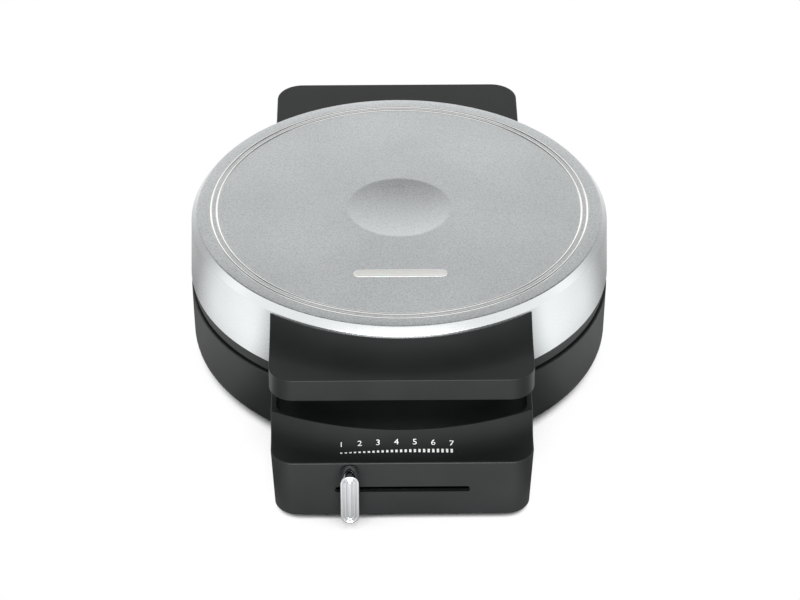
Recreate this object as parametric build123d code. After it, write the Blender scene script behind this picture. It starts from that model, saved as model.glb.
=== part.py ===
from build123d import *
import math
import os

# Heart waffle maker, in millimetres, +Z up. It is modelled about the axis of the round lid, with the
# table at height 0 and the handle towards -Y, and is moved at the end so that the origin lies under
# the middle of its overall length.

# Heights, from the table up
FOOT_HEIGHT = 2.8
BOWL_HEIGHT = 35.5
PARTING_GAP = 1.2
RIM_SHOWN = 7.0
STEEL_WALL_HEIGHT = 32.5
BEVEL_DROP = 4.0
PLATE_PLANE_RISE = 0.7

# Lid, in plan and in section
LID_FACE_R = 109.2
BEVEL_OUT = 2.9
STEEL_FLARE = 1.3
RIM_INSET = 1.1
SHEET = 0.8
EDGE_ROUND = 1.0
DISH_R = 28.0
DISH_DEPTH = 1.6
BEAD_INSETS = (10.7, 7.55)
BEAD_WIDTH = 1.5
BEAD_HEIGHT = 0.4
RIM_WALL = 3.8
RIM_RISE = 3.5
RIM_SHELF = 7.5
RIM_SHELF_THICK = 2.5

# Lens and its lamps
LENS_LENGTH = 49.8
LENS_WIDTH = 7.0
LENS_SETBACK = 47.3
LENS_PROUD = 0.3
LENS_FLANGE = 1.6
LENS_FLANGE_THICK = 1.4
LAMP_R = 2.6
LAMP_LENGTH = 16.0
LAMP_APART = 24.0
HOLDER_WALL = 1.4
HOLDER_SIDE = 3.0

# Front handle
HANDLE_REACH = 24.3
HANDLE_HALF_WIDTH = 68.0
HANDLE_WAIST = 0.9
HANDLE_CORNER = 13.0
HANDLE_TOP_DROP = 1.5
HANDLE_FALL = 7.5
HANDLE_FLAT = 1.5
HANDLE_GAP = 0.8
HANDLE_THICK = 13.0
HANDLE_EDGE = 0.5

# Bowl and control box
BOWL_TAPER = 0.6
BOWL_CORNER = 6.7
WALL = 2.6
BOX_REACH = 49.2
BOX_HALF_WIDTH = 67.4
BOX_DRAFT = 2.0
BOX_CORNER = 12.0
LOWER_EDGE = 0.8
DECK_BELOW_RIM = 1.8
CREST_REACH = 31.5
CREST_RISE = 7.2
CREST_FLAT = 0.8
DECK_FLAT = 1.5
DECK_EDGE = 0.8
RIM_EDGE = 0.6
STRIP_WIDTH = 2.8
POCKET_CORNER = 9.0
POCKET_DROP = 2.2
POCKET_SWEEP = 9.0
LEDGE_DEPTH = 9.8
LEDGE_THICK = 2.5
FLANGE_DEPTH = 4.2
COVER_THICK = 2.5
COVER_GAP = 0.3

# Hinge at the rear
HINGE_REACH = 16.9
KNUCKLE_R = 8.5
REAR_SKIN = 0.5
HINGE_GAP = 0.6
REAR_HALF_WIDTH = 68.5
REAR_CORNER = 14.5
REAR_EDGE = 0.9
LID_BLOCK_DROP = 8.0
BARREL_HALF = 38.0
PIN_R = 3.0
PIN_IN_BARREL = 14.0
PIN_IN_KNUCKLE = 20.0
PIN_CLEARANCE = 0.05
BUSH_WALL = 1.6
BUSH_LENGTH = 9.0
SWING_ROOM = 2.4
BLOCK_WALL = 3.2

# Baking plates: five hearts, points to the middle
PLATE_SLACK = 2.7
PLATE_GAP = 0.3
HEART_COUNT = 5
HEART_DEPTH = 5.5
RIDGE_HEIGHT = 3.1
RIDGE_WIDTH = 2.6
RIDGE_PITCH = 12.4
HEART_MARGIN = 9.8
HEART_GAP = 6.25
LOBE_OVERLAP = 3.0
HEART_POINT = 2.0
CENTRE_POOL_R = 12.0
PLATE_FLOOR = 3.8
FLANGE_THICK = 7.55
FLANGE_WIDTH = 16.0

# Heating element and its bright dish
ELEMENT_INSET = 21.5
ELEMENT_R = 3.25
ELEMENT_SWEEP = 318.0
ELEMENT_SEAT = 3.5
ELEMENT_SEAT_WIDTH = 12.0
TERMINAL_R = 1.4
TERMINAL_LENGTH = 9.0
REFLECTOR_INSET = 14.0
REFLECTOR_DEPTH = 12.5

# Screws
PLATE_SCREW_COUNT = 4
PLATE_SCREW_START = 45.0
PLATE_SCREW_INSET = 3.0
SCREW_R = 1.7
SCREW_SLACK = 0.3
HEAD_R = 3.4
HEAD_HEIGHT = 2.4
PLATE_SCREW_BITE = 4.6
COVER_SCREW_COUNT = 4
COVER_SCREW_START = 20.0
COVER_BOSS_R = 4.5
COVER_BOSS_INSET = 11.8
COVER_SCREW_BITE = 10.0
HANDLE_SCREW_ANGLE = 15.0
BLOCK_SCREW_ANGLE = 16.0
SIDE_SCREW_R = 2.0
SIDE_SCREW_BITE = 11.0
HEAD_LIFT = 0.15
TAB_SPREAD = 8.0
TAB_TOP_DROP = 13.0
HANDLE_SCREW_RISE = 6.5
BLOCK_SCREW_RISE = 20.0

# Temperature slide: chrome knob, carriage with a rack, guide, pinion and thermostat
SLOT_HALF_LENGTH = 34.6
SLOT_HEIGHT = 3.4
SLOT_BELOW_DECK = 17.1
SLOT_SLACK = 0.3
STEM_LENGTH_X = 8.4
KNOB_WIDTH = 9.5
KNOB_HEIGHT = 30.5
KNOB_DEPTH = 9.7
KNOB_GAP = 0.4
KNOB_RAISED = 0.95
KNOB_EDGE = 0.6
KNOB_SOCKET = 5.0
KNOB_REST_X = -26.8
SLIDE_LOW = 3.3
SLIDE_HIGH = 53.0
MODULE = 1.0
PINION_TEETH = 24
PRESSURE_ANGLE = 20.0
BACKLASH = 0.2
RACK_DEPTH = 3.2
RACK_HEIGHT = 5.0
RACK_END = 4.0
RACK_BACKSET = 9.7
GUIDE_WALL = 2.0
GUIDE_SLACK = 0.3
GUIDE_FOOT = 8.0
GUIDE_FOOT_X = 42.0
SPINDLE_R = 3.0
HUB_R = 6.0
THERMOSTAT_R = 14.0
THERMOSTAT_HEIGHT = 9.0
SPINDLE_SEAT = 5.0
BRACKET_SHEET = 1.5
BRACKET_HALF_WIDTH = 18.0
BRACKET_DEPTH = 23.0
BRACKET_DROP = 4.2

# Electrical pieces and the cord's inlet
INLET_BORE_R = 3.7
INLET_R = 6.2
INLET_FLANGE_R = 8.0
INLET_FLANGE_THICK = 1.3
INLET_X = 46.0
INLET_RISE = 11.5
INLET_TAIL = 4.0
TERMINAL_BLOCK = (34.0, 13.0, 11.0)
TERMINAL_BLOCK_X = -22.0
TERMINAL_POLES = 3
FUSE_R = 2.0
FUSE_LENGTH = 11.0
FUSE_X = 22.0
FUSE_STRAP = 1.0

# Feet and vents
FOOT_R = 8.0
FOOT_X = 46.0
FOOT_FRONT_INSET = 22.0
FOOT_REAR_INSET = 17.0
FOOT_STUD_R = 3.0
FOOT_HEAD_R = 4.4
FOOT_HEAD_THICK = 1.2
VENT_COUNT = 9
VENT_LENGTH = 46.0
VENT_WIDTH = 3.0
VENT_PITCH = 9.0

# Levels worked out from the heights
bowl_bottom = FOOT_HEIGHT
rim_level = bowl_bottom + BOWL_HEIGHT
lid_edge = rim_level + PARTING_GAP
steel_edge = lid_edge + RIM_SHOWN
bevel_foot = steel_edge + STEEL_WALL_HEIGHT
lid_top = bevel_foot + BEVEL_DROP
plate_plane = rim_level + PLATE_PLANE_RISE
deck_level = rim_level - DECK_BELOW_RIM
crest_level = deck_level + CREST_RISE
handle_top = bevel_foot - HANDLE_TOP_DROP
handle_lip = handle_top - HANDLE_FALL
handle_bottom = handle_lip - HANDLE_THICK
block_top = lid_top - LID_BLOCK_DROP
slot_level = deck_level - SLOT_BELOW_DECK
ceiling = deck_level - WALL
floor_top = bowl_bottom + COVER_THICK
inlet_level = bowl_bottom + INLET_RISE

# Radii and reaches worked out from the lid
bevel_r = LID_FACE_R + BEVEL_OUT
steel_r = bevel_r + STEEL_FLARE
rim_r = steel_r - RIM_INSET
tab_r = rim_r - RIM_WALL
bowl_r = steel_r
bowl_foot_r = bowl_r - BOWL_TAPER
bowl_inner_r = bowl_foot_r - WALL
crest_r = bowl_r + CREST_REACH
box_front = -(bowl_r + BOX_REACH)
handle_front = -(bowl_r + HANDLE_REACH)
hinge_y = bowl_r + HINGE_REACH
hinge_z = plate_plane
rear_face = hinge_y + KNUCKLE_R + REAR_SKIN
cavity_front = box_front + WALL
foot_half_width = BOX_HALF_WIDTH - BOX_DRAFT
cavity_half = foot_half_width - WALL
knob_back = box_front - KNOB_GAP
knob_front = knob_back - KNOB_DEPTH
axis_y = (-knob_front - rear_face) / 2

# The lower baking unit, in section
plate_top = plate_plane - PLATE_GAP / 2
pocket_floor = plate_top - HEART_DEPTH
core_bottom = pocket_floor - PLATE_FLOOR
flange_bottom = plate_top - FLANGE_THICK
ledge_top = flange_bottom - SHEET
seat_bottom = core_bottom - ELEMENT_SEAT
reflector_back = 2 * plate_plane - (ledge_top - REFLECTOR_DEPTH)
holder_top = lid_top - SHEET - LENS_FLANGE_THICK
plate_r = bowl_inner_r - PLATE_SLACK
heart_reach = plate_r - HEART_MARGIN
plate_core_r = plate_r - FLANGE_WIDTH
element_ring_r = plate_core_r - ELEMENT_INSET
reflector_r = plate_r - REFLECTOR_INSET
plate_screw_r = plate_r - PLATE_SCREW_INSET
cover_boss_r = bowl_inner_r - COVER_BOSS_INSET

# The rack and pinion
pitch_r = MODULE * PINION_TEETH / 2
rack_pitch = math.pi * MODULE
rack_back = cavity_front + RACK_BACKSET
rack_root = rack_back + RACK_DEPTH
pitch_line = rack_root + 1.25 * MODULE
pinion_y = pitch_line + pitch_r
rack_low = slot_level - RACK_HEIGHT / 2
rack_high = slot_level + RACK_HEIGHT / 2
stem_height = SLOT_HEIGHT - 2 * SLOT_SLACK
knob_level = slot_level + KNOB_RAISED
thermostat_low = ceiling - THERMOSTAT_HEIGHT
spindle_low = rack_low - BRACKET_DROP

MIN_Z = (Align.CENTER, Align.CENTER, Align.MIN)


def outline(*stops):
    """A closed flat face through the stops. A stop that is a pair is an arc: a point on it, then its end."""
    edges = []
    here = stops[0]
    for stop in stops[1:] + stops[:1]:
        if isinstance(stop[0], tuple):
            edges.append(ThreePointArc(here, stop[0], stop[1]))
            here = stop[1]
        else:
            edges.append(Line(here, stop))
            here = stop
    return make_face(edges)


def rounded(face, radius, *corners):
    """The face with the corners nearest the given points rounded."""
    picked = [face.vertices().sort_by_distance(Vector(*corner, 0))[0] for corner in corners]
    return fillet(picked, radius)


def turned(face):
    """A face of (radius, height) points turned about the lid's axis."""
    return revolve(Plane.XZ * face, Axis.Z)


def sweep(start, end):
    """Stops of a concave arc that falls from the start (radius, height) and runs out level at the end."""
    run, fall = end[0] - start[0], start[1] - end[1]
    curve = (run**2 + fall**2) / (2 * fall)
    half_turn = math.atan2(run, curve - fall) / 2
    middle = (end[0] - curve * math.sin(half_turn), end[1] + curve * (1 - math.cos(half_turn)))
    return (start, (middle, end))


def tube(outer, inner, low, high):
    return turned(outline((inner, low), (outer, low), (outer, high), (inner, high)))


def rod(radius, low, high, x=0.0, y=0.0):
    return Pos(x, y, low) * Cylinder(radius, high - low, align=MIN_Z)


def rod_x(radius, left, right, y, z):
    return Pos(left, y, z) * Rot(0, 90, 0) * Cylinder(radius, right - left, align=MIN_Z)


def rod_y(radius, near, far, x, z):
    return Pos(x, near, z) * Rot(-90, 0, 0) * Cylinder(radius, far - near, align=MIN_Z)


def block(x_range, y_range, z_range):
    size = [high - low for low, high in (x_range, y_range, z_range)]
    middle = [(low + high) / 2 for low, high in (x_range, y_range, z_range)]
    return Pos(*middle) * Box(*size)


def prism(face, low, high):
    return extrude(Pos(0, 0, low) * face, high - low)


def screw(head_r, head_height, shank_r, length):
    """A pan head screw that points up, its head's underside at height 0, with a cross recess."""
    body = rod(shank_r, 0, length) + rod(head_r, -head_height, 0)
    for turn in (0, 90):
        body -= Rot(0, 0, turn) * Pos(0, 0, -head_height) * Box(head_r, head_r / 4, head_height)
    return body


def group(pieces):
    """Separate solids that are one node."""
    return Compound([solid for piece in pieces for solid in piece.solids()])


def around(count, radius, start):
    """Places evenly spread on a circle about the lid's axis."""
    return [
        Rot(0, 0, start + 360 / count * number) * Pos(radius, 0, 0)
        for number in range(count)
    ]


def plate_screw_places():
    return around(PLATE_SCREW_COUNT, plate_screw_r, PLATE_SCREW_START)


def spoke(angle, radius, height):
    """A place on a radius, turned so that its +Z points outwards."""
    return Rot(0, 0, angle) * Pos(radius, 0, height) * Rot(0, 90, 0)


def dish_level(radius, drop):
    """Height of the shallow round dish in the lid at a radius."""
    ball = (DISH_R**2 + DISH_DEPTH**2) / (2 * DISH_DEPTH)
    return lid_top - drop - DISH_DEPTH + ball - math.sqrt(ball**2 - radius**2)


def steel_outline(drop):
    """Section of the steel cover's outside, or of its inside where drop is the sheet."""
    top = lid_top - drop
    stops = [(0, dish_level(0, drop)), ((DISH_R / 2, dish_level(DISH_R / 2, drop)), (DISH_R, top))]
    for inset in BEAD_INSETS:
        bead = LID_FACE_R - inset
        stops.append((bead - BEAD_WIDTH / 2, top))
        stops.append(((bead, top + BEAD_HEIGHT), (bead + BEAD_WIDTH / 2, top)))
    stops.append((LID_FACE_R - drop * math.tan(math.radians(31)), top))
    stops.append((bevel_r - drop, bevel_foot - drop * 0.25))
    stops.append((steel_r - drop, steel_edge))
    stops.append((0, steel_edge))
    face = outline(*stops)
    return rounded(face, EDGE_ROUND, stops[-4], stops[-3])


def lid_envelope():
    """Everything inside the steel's outer wall, down to the lid's edge."""
    return turned(
        outline(
            (0, lid_edge - PARTING_GAP),
            (steel_r, lid_edge - PARTING_GAP),
            (steel_r, steel_edge),
            (bevel_r, bevel_foot),
            (LID_FACE_R, lid_top),
            (0, lid_top),
        )
    )


def side_screw_places():
    """Angle and height of each screw that holds the handle or the hinge block to the lid's wall."""
    front_level = handle_bottom + HANDLE_SCREW_RISE
    rear_level = lid_edge + BLOCK_SCREW_RISE
    front = [(-90 + side * HANDLE_SCREW_ANGLE, front_level) for side in (-1, 1)]
    rear = [(90 + side * BLOCK_SCREW_ANGLE, rear_level) for side in (-1, 1)]
    return front, rear


def side_screw_holes(radius):
    front, rear = side_screw_places()
    holes = Part()
    for angle, height in front + rear:
        reach = rim_r - tab_r + SIDE_SCREW_BITE
        holes += spoke(angle, tab_r - 1, height) * Cylinder(radius, reach + 1, align=MIN_Z)
    return holes


def lens_slot(grow, low, high):
    y = -(LID_FACE_R - LENS_SETBACK)
    face = Pos(0, y) * SlotOverall(LENS_LENGTH + 2 * grow, LENS_WIDTH + 2 * grow)
    return prism(face, low, high)


def lid_cover():
    shell = turned(steel_outline(0)) - turned(steel_outline(SHEET))
    shell -= lens_slot(0, bevel_foot - SHEET, lid_top + LENS_PROUD)
    return shell - side_screw_holes(SIDE_SCREW_R + SCREW_SLACK)


def tab_arc(angles, low, high):
    """A wall inside the steel that backs the screws at the given angles."""
    middle = sum(angles) / len(angles)
    half = (max(angles) - min(angles)) / 2 + TAB_SPREAD
    face = make_face(
        Polyline(
            (0, 0),
            *[
                (2 * steel_r * math.cos(a), 2 * steel_r * math.sin(a))
                for a in (math.radians(middle + turn) for turn in (-half, 0, half))
            ],
            close=True,
        )
    )
    return prism(face, low, high) & tube(steel_r, tab_r, low, high)


def lid_rim():
    shelf_low = 2 * plate_plane - ledge_top
    rim_top = steel_edge + RIM_RISE
    section = outline((tab_r, lid_edge), (rim_r, lid_edge), (rim_r, rim_top), (tab_r, rim_top))
    ring = turned(rounded(section, RIM_EDGE, (rim_r, lid_edge)))
    ring += tube(rim_r, tab_r - RIM_SHELF, shelf_low, shelf_low + RIM_SHELF_THICK)
    inside = turned(steel_outline(SHEET))
    front, rear = side_screw_places()
    for places in (front, rear):
        tab = tab_arc([angle for angle, height in places], rim_top - RIM_RISE, bevel_foot - TAB_TOP_DROP)
        ring += tab & inside
    for place in plate_screw_places():
        ring -= place * rod(SCREW_R + SCREW_SLACK, shelf_low - 1, shelf_low + RIM_SHELF_THICK + 1)
    return ring - side_screw_holes(SIDE_SCREW_R + SCREW_SLACK)


def lid_handle():
    waist = HANDLE_HALF_WIDTH - HANDLE_WAIST
    plan = outline(
        (-waist, 0),
        (-HANDLE_HALF_WIDTH, handle_front),
        (HANDLE_HALF_WIDTH, handle_front),
        (waist, 0),
    )
    corners = [(side * HANDLE_HALF_WIDTH, handle_front) for side in (-1, 1)]
    handle = prism(rounded(plan, HANDLE_CORNER, *corners), handle_bottom, handle_top)
    start = bevel_r + HANDLE_GAP
    far = 2 * bowl_r
    handle -= turned(
        outline(
            *sweep((start, handle_top), (-handle_front - HANDLE_FLAT, handle_lip)),
            (far, handle_lip),
            (far, handle_top + 1),
            (start, handle_top + 1),
        )
    )
    lip = []
    for edge in handle.edges():
        middle = edge.center()
        level = edge.bounding_box().size.Z < handle_top - handle_lip + 1
        outside = abs(middle.X) > waist - HANDLE_CORNER or middle.Y < handle_front + 1
        if level and outside and middle.Y < -start / 2:
            lip.append(edge)
    handle = fillet(lip, HANDLE_EDGE)
    return handle - lid_envelope() - side_screw_holes(SIDE_SCREW_R)


def rear_plan(inset=0.0):
    """Outline of the hinge blocks seen from above, from the lid's axis back."""
    half = REAR_HALF_WIDTH - inset
    back = rear_face - inset
    face = outline((-half, 0), (half, 0), (half, back), (-half, back))
    return rounded(face, REAR_CORNER - inset, (half, back), (-half, back))


def lid_hinge_block():
    body = prism(rear_plan(), lid_edge, block_top)
    top = body.edges().filter_by_position(Axis.Z, block_top - 0.01, block_top + 0.01)
    body = fillet([edge for edge in top if edge.center().Y > 1], REAR_EDGE)
    reach = BARREL_HALF + HINGE_GAP
    body -= rod_x(KNUCKLE_R + HINGE_GAP, -reach, reach, hinge_y, hinge_z)
    shadow = prism(rear_plan(), hinge_z - KNUCKLE_R - 1, lid_edge + 1)
    for side in (-1, 1):
        inner = side * (BARREL_HALF + HINGE_GAP)
        outer = side * REAR_HALF_WIDTH
        knuckle = rod_x(KNUCKLE_R, min(inner, outer), max(inner, outer), hinge_y, hinge_z)
        body += knuckle & shadow
    cell_low = hinge_z + KNUCKLE_R + HINGE_GAP + BLOCK_WALL
    cells = prism(rear_plan(BLOCK_WALL), cell_low, block_top - BLOCK_WALL)
    web = bowl_r * math.sin(math.radians(BLOCK_SCREW_ANGLE)) + SIDE_SCREW_R
    for side in (-1, 1):
        middle = side * web
        cells -= block((middle - 2 * HEAD_R, middle + 2 * HEAD_R), (0, rear_face), (cell_low, block_top))
    body -= cells
    for side in (-1, 1):
        inner = side * BARREL_HALF
        outer = side * (BARREL_HALF + HINGE_GAP + PIN_IN_KNUCKLE)
        body -= rod_x(PIN_R, min(inner, outer), max(inner, outer), hinge_y, hinge_z)
    return body - lid_envelope() - side_screw_holes(SIDE_SCREW_R)


def side_screws(places):
    screws = []
    for angle, height in places:
        length = rim_r - tab_r + SIDE_SCREW_BITE - HEAD_LIFT
        one = screw(HEAD_R, HEAD_HEIGHT, SIDE_SCREW_R, length)
        screws.append(spoke(angle, tab_r - HEAD_LIFT, height) * one)
    return group(screws)


def light_lens():
    flange_top = lid_top - SHEET
    lens = lens_slot(-0.1, flange_top, lid_top + LENS_PROUD)
    rim = lens.edges().filter_by_position(Axis.Z, lid_top + LENS_PROUD - 0.01, lid_top + LENS_PROUD + 0.01)
    lens = fillet(rim, LENS_PROUD)
    return lens + lens_slot(LENS_FLANGE, flange_top - LENS_FLANGE_THICK, flange_top)


def lamp_holder():
    """An open-topped tray between the upper reflector and the lens."""
    grow = LENS_FLANGE + HOLDER_SIDE
    tray = lens_slot(grow, reflector_back, holder_top)
    tray -= lens_slot(grow - HOLDER_WALL, reflector_back + HOLDER_WALL, holder_top + 1)
    y = -(LID_FACE_R - LENS_SETBACK)
    cradle_half = LAMP_R + HOLDER_WALL
    top = reflector_back + HOLDER_WALL
    for side in (-1, 1):
        x = side * LAMP_APART / 2
        post = block((x - 2, x + 2), (y - cradle_half, y + cradle_half), (top, top + 2 * LAMP_R))
        post -= rod_x(LAMP_R, x - 3, x + 3, y, top + 2 * LAMP_R)
        tray += post
    return tray


def pilot_lamps():
    y = -(LID_FACE_R - LENS_SETBACK)
    z = reflector_back + HOLDER_WALL + 2 * LAMP_R
    lamps = []
    for side in (-1, 1):
        x = side * LAMP_APART / 2
        lamp = rod_x(LAMP_R, x - LAMP_LENGTH / 2, x + LAMP_LENGTH / 2, y, z)
        lamps.append(fillet(lamp.edges().filter_by(GeomType.CIRCLE), LAMP_R / 2))
    return group(lamps)


def lobe_radius():
    """Radius of a heart's two lobes that leaves the margin outside them and the gap to the next heart."""
    half_turn = math.pi / HEART_COUNT
    lean = 1 + math.cos(half_turn)
    rise = math.sin(half_turn) ** 2
    shift = HEART_GAP / 2 - LOBE_OVERLAP * math.cos(half_turn)
    middle = lean * shift + rise * (heart_reach - LOBE_OVERLAP)
    rest = shift**2 - rise * (heart_reach**2 - LOBE_OVERLAP**2)
    return (math.sqrt(middle**2 - lean**2 * rest) - middle) / lean**2


lobe_r = lobe_radius()
lobe_side = lobe_r - LOBE_OVERLAP
lobe_out = math.sqrt((heart_reach - lobe_r) ** 2 - lobe_side**2)


def heart():
    """A heart with its point near the middle of the plate and its lobes towards -Y."""
    reach = math.hypot(lobe_side, lobe_out - HEART_POINT)
    lean = math.atan2(lobe_side, lobe_out - HEART_POINT) + math.asin(lobe_r / reach)
    flank = math.sqrt(reach**2 - lobe_r**2)
    touch = (flank * math.sin(lean), HEART_POINT + flank * math.cos(lean))
    notch = (0, lobe_out + math.sqrt(lobe_r**2 - lobe_side**2))
    half = [(0, HEART_POINT), touch, (lobe_side, lobe_out), notch]
    body = make_face(
        Polyline(
            *[(x, -y) for x, y in half],
            *[(-x, -y) for x, y in reversed(half[1:3])],
            close=True,
        )
    )
    for side in (-1, 1):
        body += Pos(side * lobe_side, -lobe_out) * Circle(lobe_r)
    return body


def ridge_bars():
    """Bars of the baking grid that crosses a heart, square to the heart's own axis."""
    reach = lobe_out + lobe_r
    half = lobe_side + lobe_r
    bars = []
    columns = int(half // RIDGE_PITCH)
    for number in range(-columns, columns + 1):
        bars.append(Pos(number * RIDGE_PITCH, -reach / 2) * Rectangle(RIDGE_WIDTH, reach))
    rows = int(reach // RIDGE_PITCH)
    for number in range(1, rows + 1):
        bars.append(Pos(0, -number * RIDGE_PITCH) * Rectangle(2 * half, RIDGE_WIDTH))
    return bars


def baking_plate():
    """The lower plate. The upper one is its mirror image in the plane where they meet."""
    plate = turned(
        outline(
            (0, core_bottom),
            (plate_core_r, core_bottom),
            (plate_core_r, flange_bottom),
            (plate_r, flange_bottom),
            (plate_r, plate_top),
            (0, plate_top),
        )
    )
    seat_in = element_ring_r - ELEMENT_SEAT_WIDTH / 2
    plate += tube(seat_in + ELEMENT_SEAT_WIDTH, seat_in, seat_bottom, core_bottom)
    plate -= Pos(0, 0, seat_bottom) * Torus(element_ring_r, ELEMENT_R)
    ridge_top = pocket_floor + RIDGE_HEIGHT
    shape = heart()
    cells = shape
    for bar in ridge_bars():
        cells -= bar
    pocket = prism(shape, ridge_top, plate_top + 1)
    wells = extrude(Pos(0, 0, pocket_floor) * cells, ridge_top - pocket_floor)
    for number in range(HEART_COUNT):
        turn = Rot(0, 0, 360 / HEART_COUNT * number)
        plate -= turn * pocket
        plate -= turn * wells
    plate -= rod(CENTRE_POOL_R, ridge_top, plate_top + 1)
    for place in plate_screw_places():
        plate -= place * rod(SCREW_R, flange_bottom - 1, flange_bottom + PLATE_SCREW_BITE)
    return plate


def heating_element():
    """A tubular element bent to a ring that stays open at the rear, with a pin at each end."""
    start = 90 + (360 - ELEMENT_SWEEP) / 2
    section = Plane.XZ * (Pos(element_ring_r, seat_bottom) * Circle(ELEMENT_R))
    ring = Rot(0, 0, start) * revolve(section, Axis.Z, ELEMENT_SWEEP)
    for angle, along in ((start, 1), (start + ELEMENT_SWEEP, -1)):
        pin = Pos(element_ring_r, 0, seat_bottom) * Rot(90 * along, 0, 0)
        pin *= Cylinder(TERMINAL_R, TERMINAL_LENGTH, align=MIN_Z)
        ring += Rot(0, 0, angle) * pin
    return ring


def reflector():
    """A bright sheet dish that hangs under the plate's flange."""
    floor = ledge_top - REFLECTOR_DEPTH
    inner = reflector_r - SHEET
    dish = turned(
        outline(
            (0, floor),
            (reflector_r, floor),
            (reflector_r, ledge_top),
            (plate_r, ledge_top),
            (plate_r, flange_bottom),
            (inner, flange_bottom),
            (inner, floor + SHEET),
            (0, floor + SHEET),
        )
    )
    for place in plate_screw_places():
        dish -= place * rod(SCREW_R + SCREW_SLACK, ledge_top - 1, flange_bottom + 1)
    return dish


def plate_screws(clamped):
    """Screws that clamp the reflector and a plate to a ledge of the given thickness."""
    length = clamped + SHEET + PLATE_SCREW_BITE
    one = Pos(0, 0, ledge_top - clamped) * screw(HEAD_R, HEAD_HEIGHT, SCREW_R, length)
    return group([place * one for place in plate_screw_places()])


def upper(shape):
    """The mirror image of a lower piece in the plane where the plates meet."""
    return mirror(shape, Plane.XY.offset(plate_plane))


def box_plan(half, corner, front):
    face = outline((-half, 0), (-half, front), (half, front), (half, 0))
    return rounded(face, corner, (-half, front), (half, front))


def control_box():
    """The box in front of the bowl: a deck swept up to a crest about the lid's axis, and a finger pocket."""
    low = Pos(0, 0, bowl_bottom) * box_plan(foot_half_width, BOX_CORNER, box_front)
    high = Pos(0, 0, crest_level) * box_plan(BOX_HALF_WIDTH, BOX_CORNER, box_front)
    body = loft([low, high], ruled=True)
    lower = body.edges().filter_by_position(Axis.Z, bowl_bottom - 0.01, bowl_bottom + 0.01)
    body = fillet([edge for edge in lower if edge.center().Y < -1], LOWER_EDGE)
    far = 2 * bowl_r
    body -= turned(
        outline(
            *sweep((crest_r, crest_level), (-box_front - DECK_FLAT, deck_level)),
            (far, deck_level),
            (far, crest_level + 1),
            (crest_r, crest_level + 1),
        )
    )
    half = BOX_HALF_WIDTH - STRIP_WIDTH
    edge_r = crest_r - CREST_FLAT
    corner_y = -math.sqrt(edge_r**2 - half**2)
    pocket = outline((-half, 0), (-half, corner_y), ((0, -edge_r), (half, corner_y)), (half, 0))
    pocket = rounded(pocket, POCKET_CORNER, (-half, corner_y), (half, corner_y))
    low = rim_level - POCKET_DROP
    rise = crest_level - low
    low_r = edge_r - math.sqrt(POCKET_SWEEP**2 - (POCKET_SWEEP - rise) ** 2)
    up = math.acos(1 - rise / POCKET_SWEEP) / 2
    up_stop = (low_r + POCKET_SWEEP * math.sin(up), low + POCKET_SWEEP * (1 - math.cos(up)))
    trough = outline(
        *sweep((bowl_r, rim_level), (low_r, low)),
        (up_stop, (edge_r, crest_level)),
        (far, crest_level),
        (far, crest_level + 1),
        (bowl_r, crest_level + 1),
    )
    body -= prism(pocket, ceiling, crest_level + 1) & turned(trough)
    shown = []
    for edge in body.edges():
        middle = edge.center()
        outside = abs(middle.X) > BOX_HALF_WIDTH - STRIP_WIDTH / 2 or middle.Y < box_front + BOX_CORNER / 2
        if outside and middle.Z > deck_level - 0.01 and middle.Y < -1:
            shown.append(edge)
    body = fillet(shown, DECK_EDGE)
    return body - rod(bowl_r + HINGE_GAP, rim_level, crest_level + 1)


def base_rear_block():
    """The base's half of the hinge: a low block, a neck and the middle barrel."""
    body = prism(rear_plan(), bowl_bottom, rim_level)
    lower = body.edges().filter_by_position(Axis.Z, bowl_bottom - 0.01, bowl_bottom + 0.01)
    body = fillet([edge for edge in lower if edge.center().Y > 1], LOWER_EDGE)
    swing_level = hinge_z - KNUCKLE_R - REAR_SKIN - SWING_ROOM
    far = 2 * REAR_HALF_WIDTH
    body -= block((-far, far), (hinge_y - REAR_SKIN, 2 * rear_face), (swing_level, crest_level))
    body -= rod_x(KNUCKLE_R + HINGE_GAP, -far, far, hinge_y, hinge_z)
    neck = block(
        (-BARREL_HALF, BARREL_HALF),
        (hinge_y - KNUCKLE_R - 2 * HINGE_GAP, hinge_y - REAR_SKIN),
        (swing_level - KNUCKLE_R, rim_level),
    )
    barrel = rod_x(KNUCKLE_R, -BARREL_HALF, BARREL_HALF, hinge_y, hinge_z)
    return body + neck + barrel


def cover_plan(grow=0.0):
    """Outline of the opening in the underside, less the gap round the cover where grow is 0."""
    inset = FLANGE_DEPTH + COVER_GAP - grow
    front = box_plan(foot_half_width - inset, BOX_CORNER - inset, box_front + inset)
    rear = rear_plan(REAR_HALF_WIDTH - foot_half_width + inset)
    return Circle(bowl_foot_r - BOWL_CORNER - COVER_GAP + grow) + front + rear


def cover_screw_places():
    return around(COVER_SCREW_COUNT, cover_boss_r, COVER_SCREW_START)


def base_cavity():
    """The hollow of the base: the bowl, the control box, the rear block and the ways between them."""
    bowl = rod(bowl_inner_r, floor_top, rim_level + 1)
    front_plan = box_plan(cavity_half, BOX_CORNER - WALL, cavity_front)
    ring = rod(bowl_r, bowl_bottom, rim_level + 1)
    front = prism(front_plan, floor_top, ceiling) - ring
    swing_level = hinge_z - KNUCKLE_R - REAR_SKIN - SWING_ROOM
    rear = prism(rear_plan(REAR_HALF_WIDTH - cavity_half), floor_top, swing_level - WALL)
    way_top = ledge_top - LEDGE_THICK - WALL
    ways = prism(front_plan, floor_top, way_top)
    way_top = min(way_top, swing_level - WALL)
    ways += prism(rear_plan(REAR_HALF_WIDTH - cavity_half), floor_top, way_top)
    rear -= ring
    return bowl + front + rear + ways + prism(cover_plan(COVER_GAP), bowl_bottom - 1, floor_top + 1)


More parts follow.
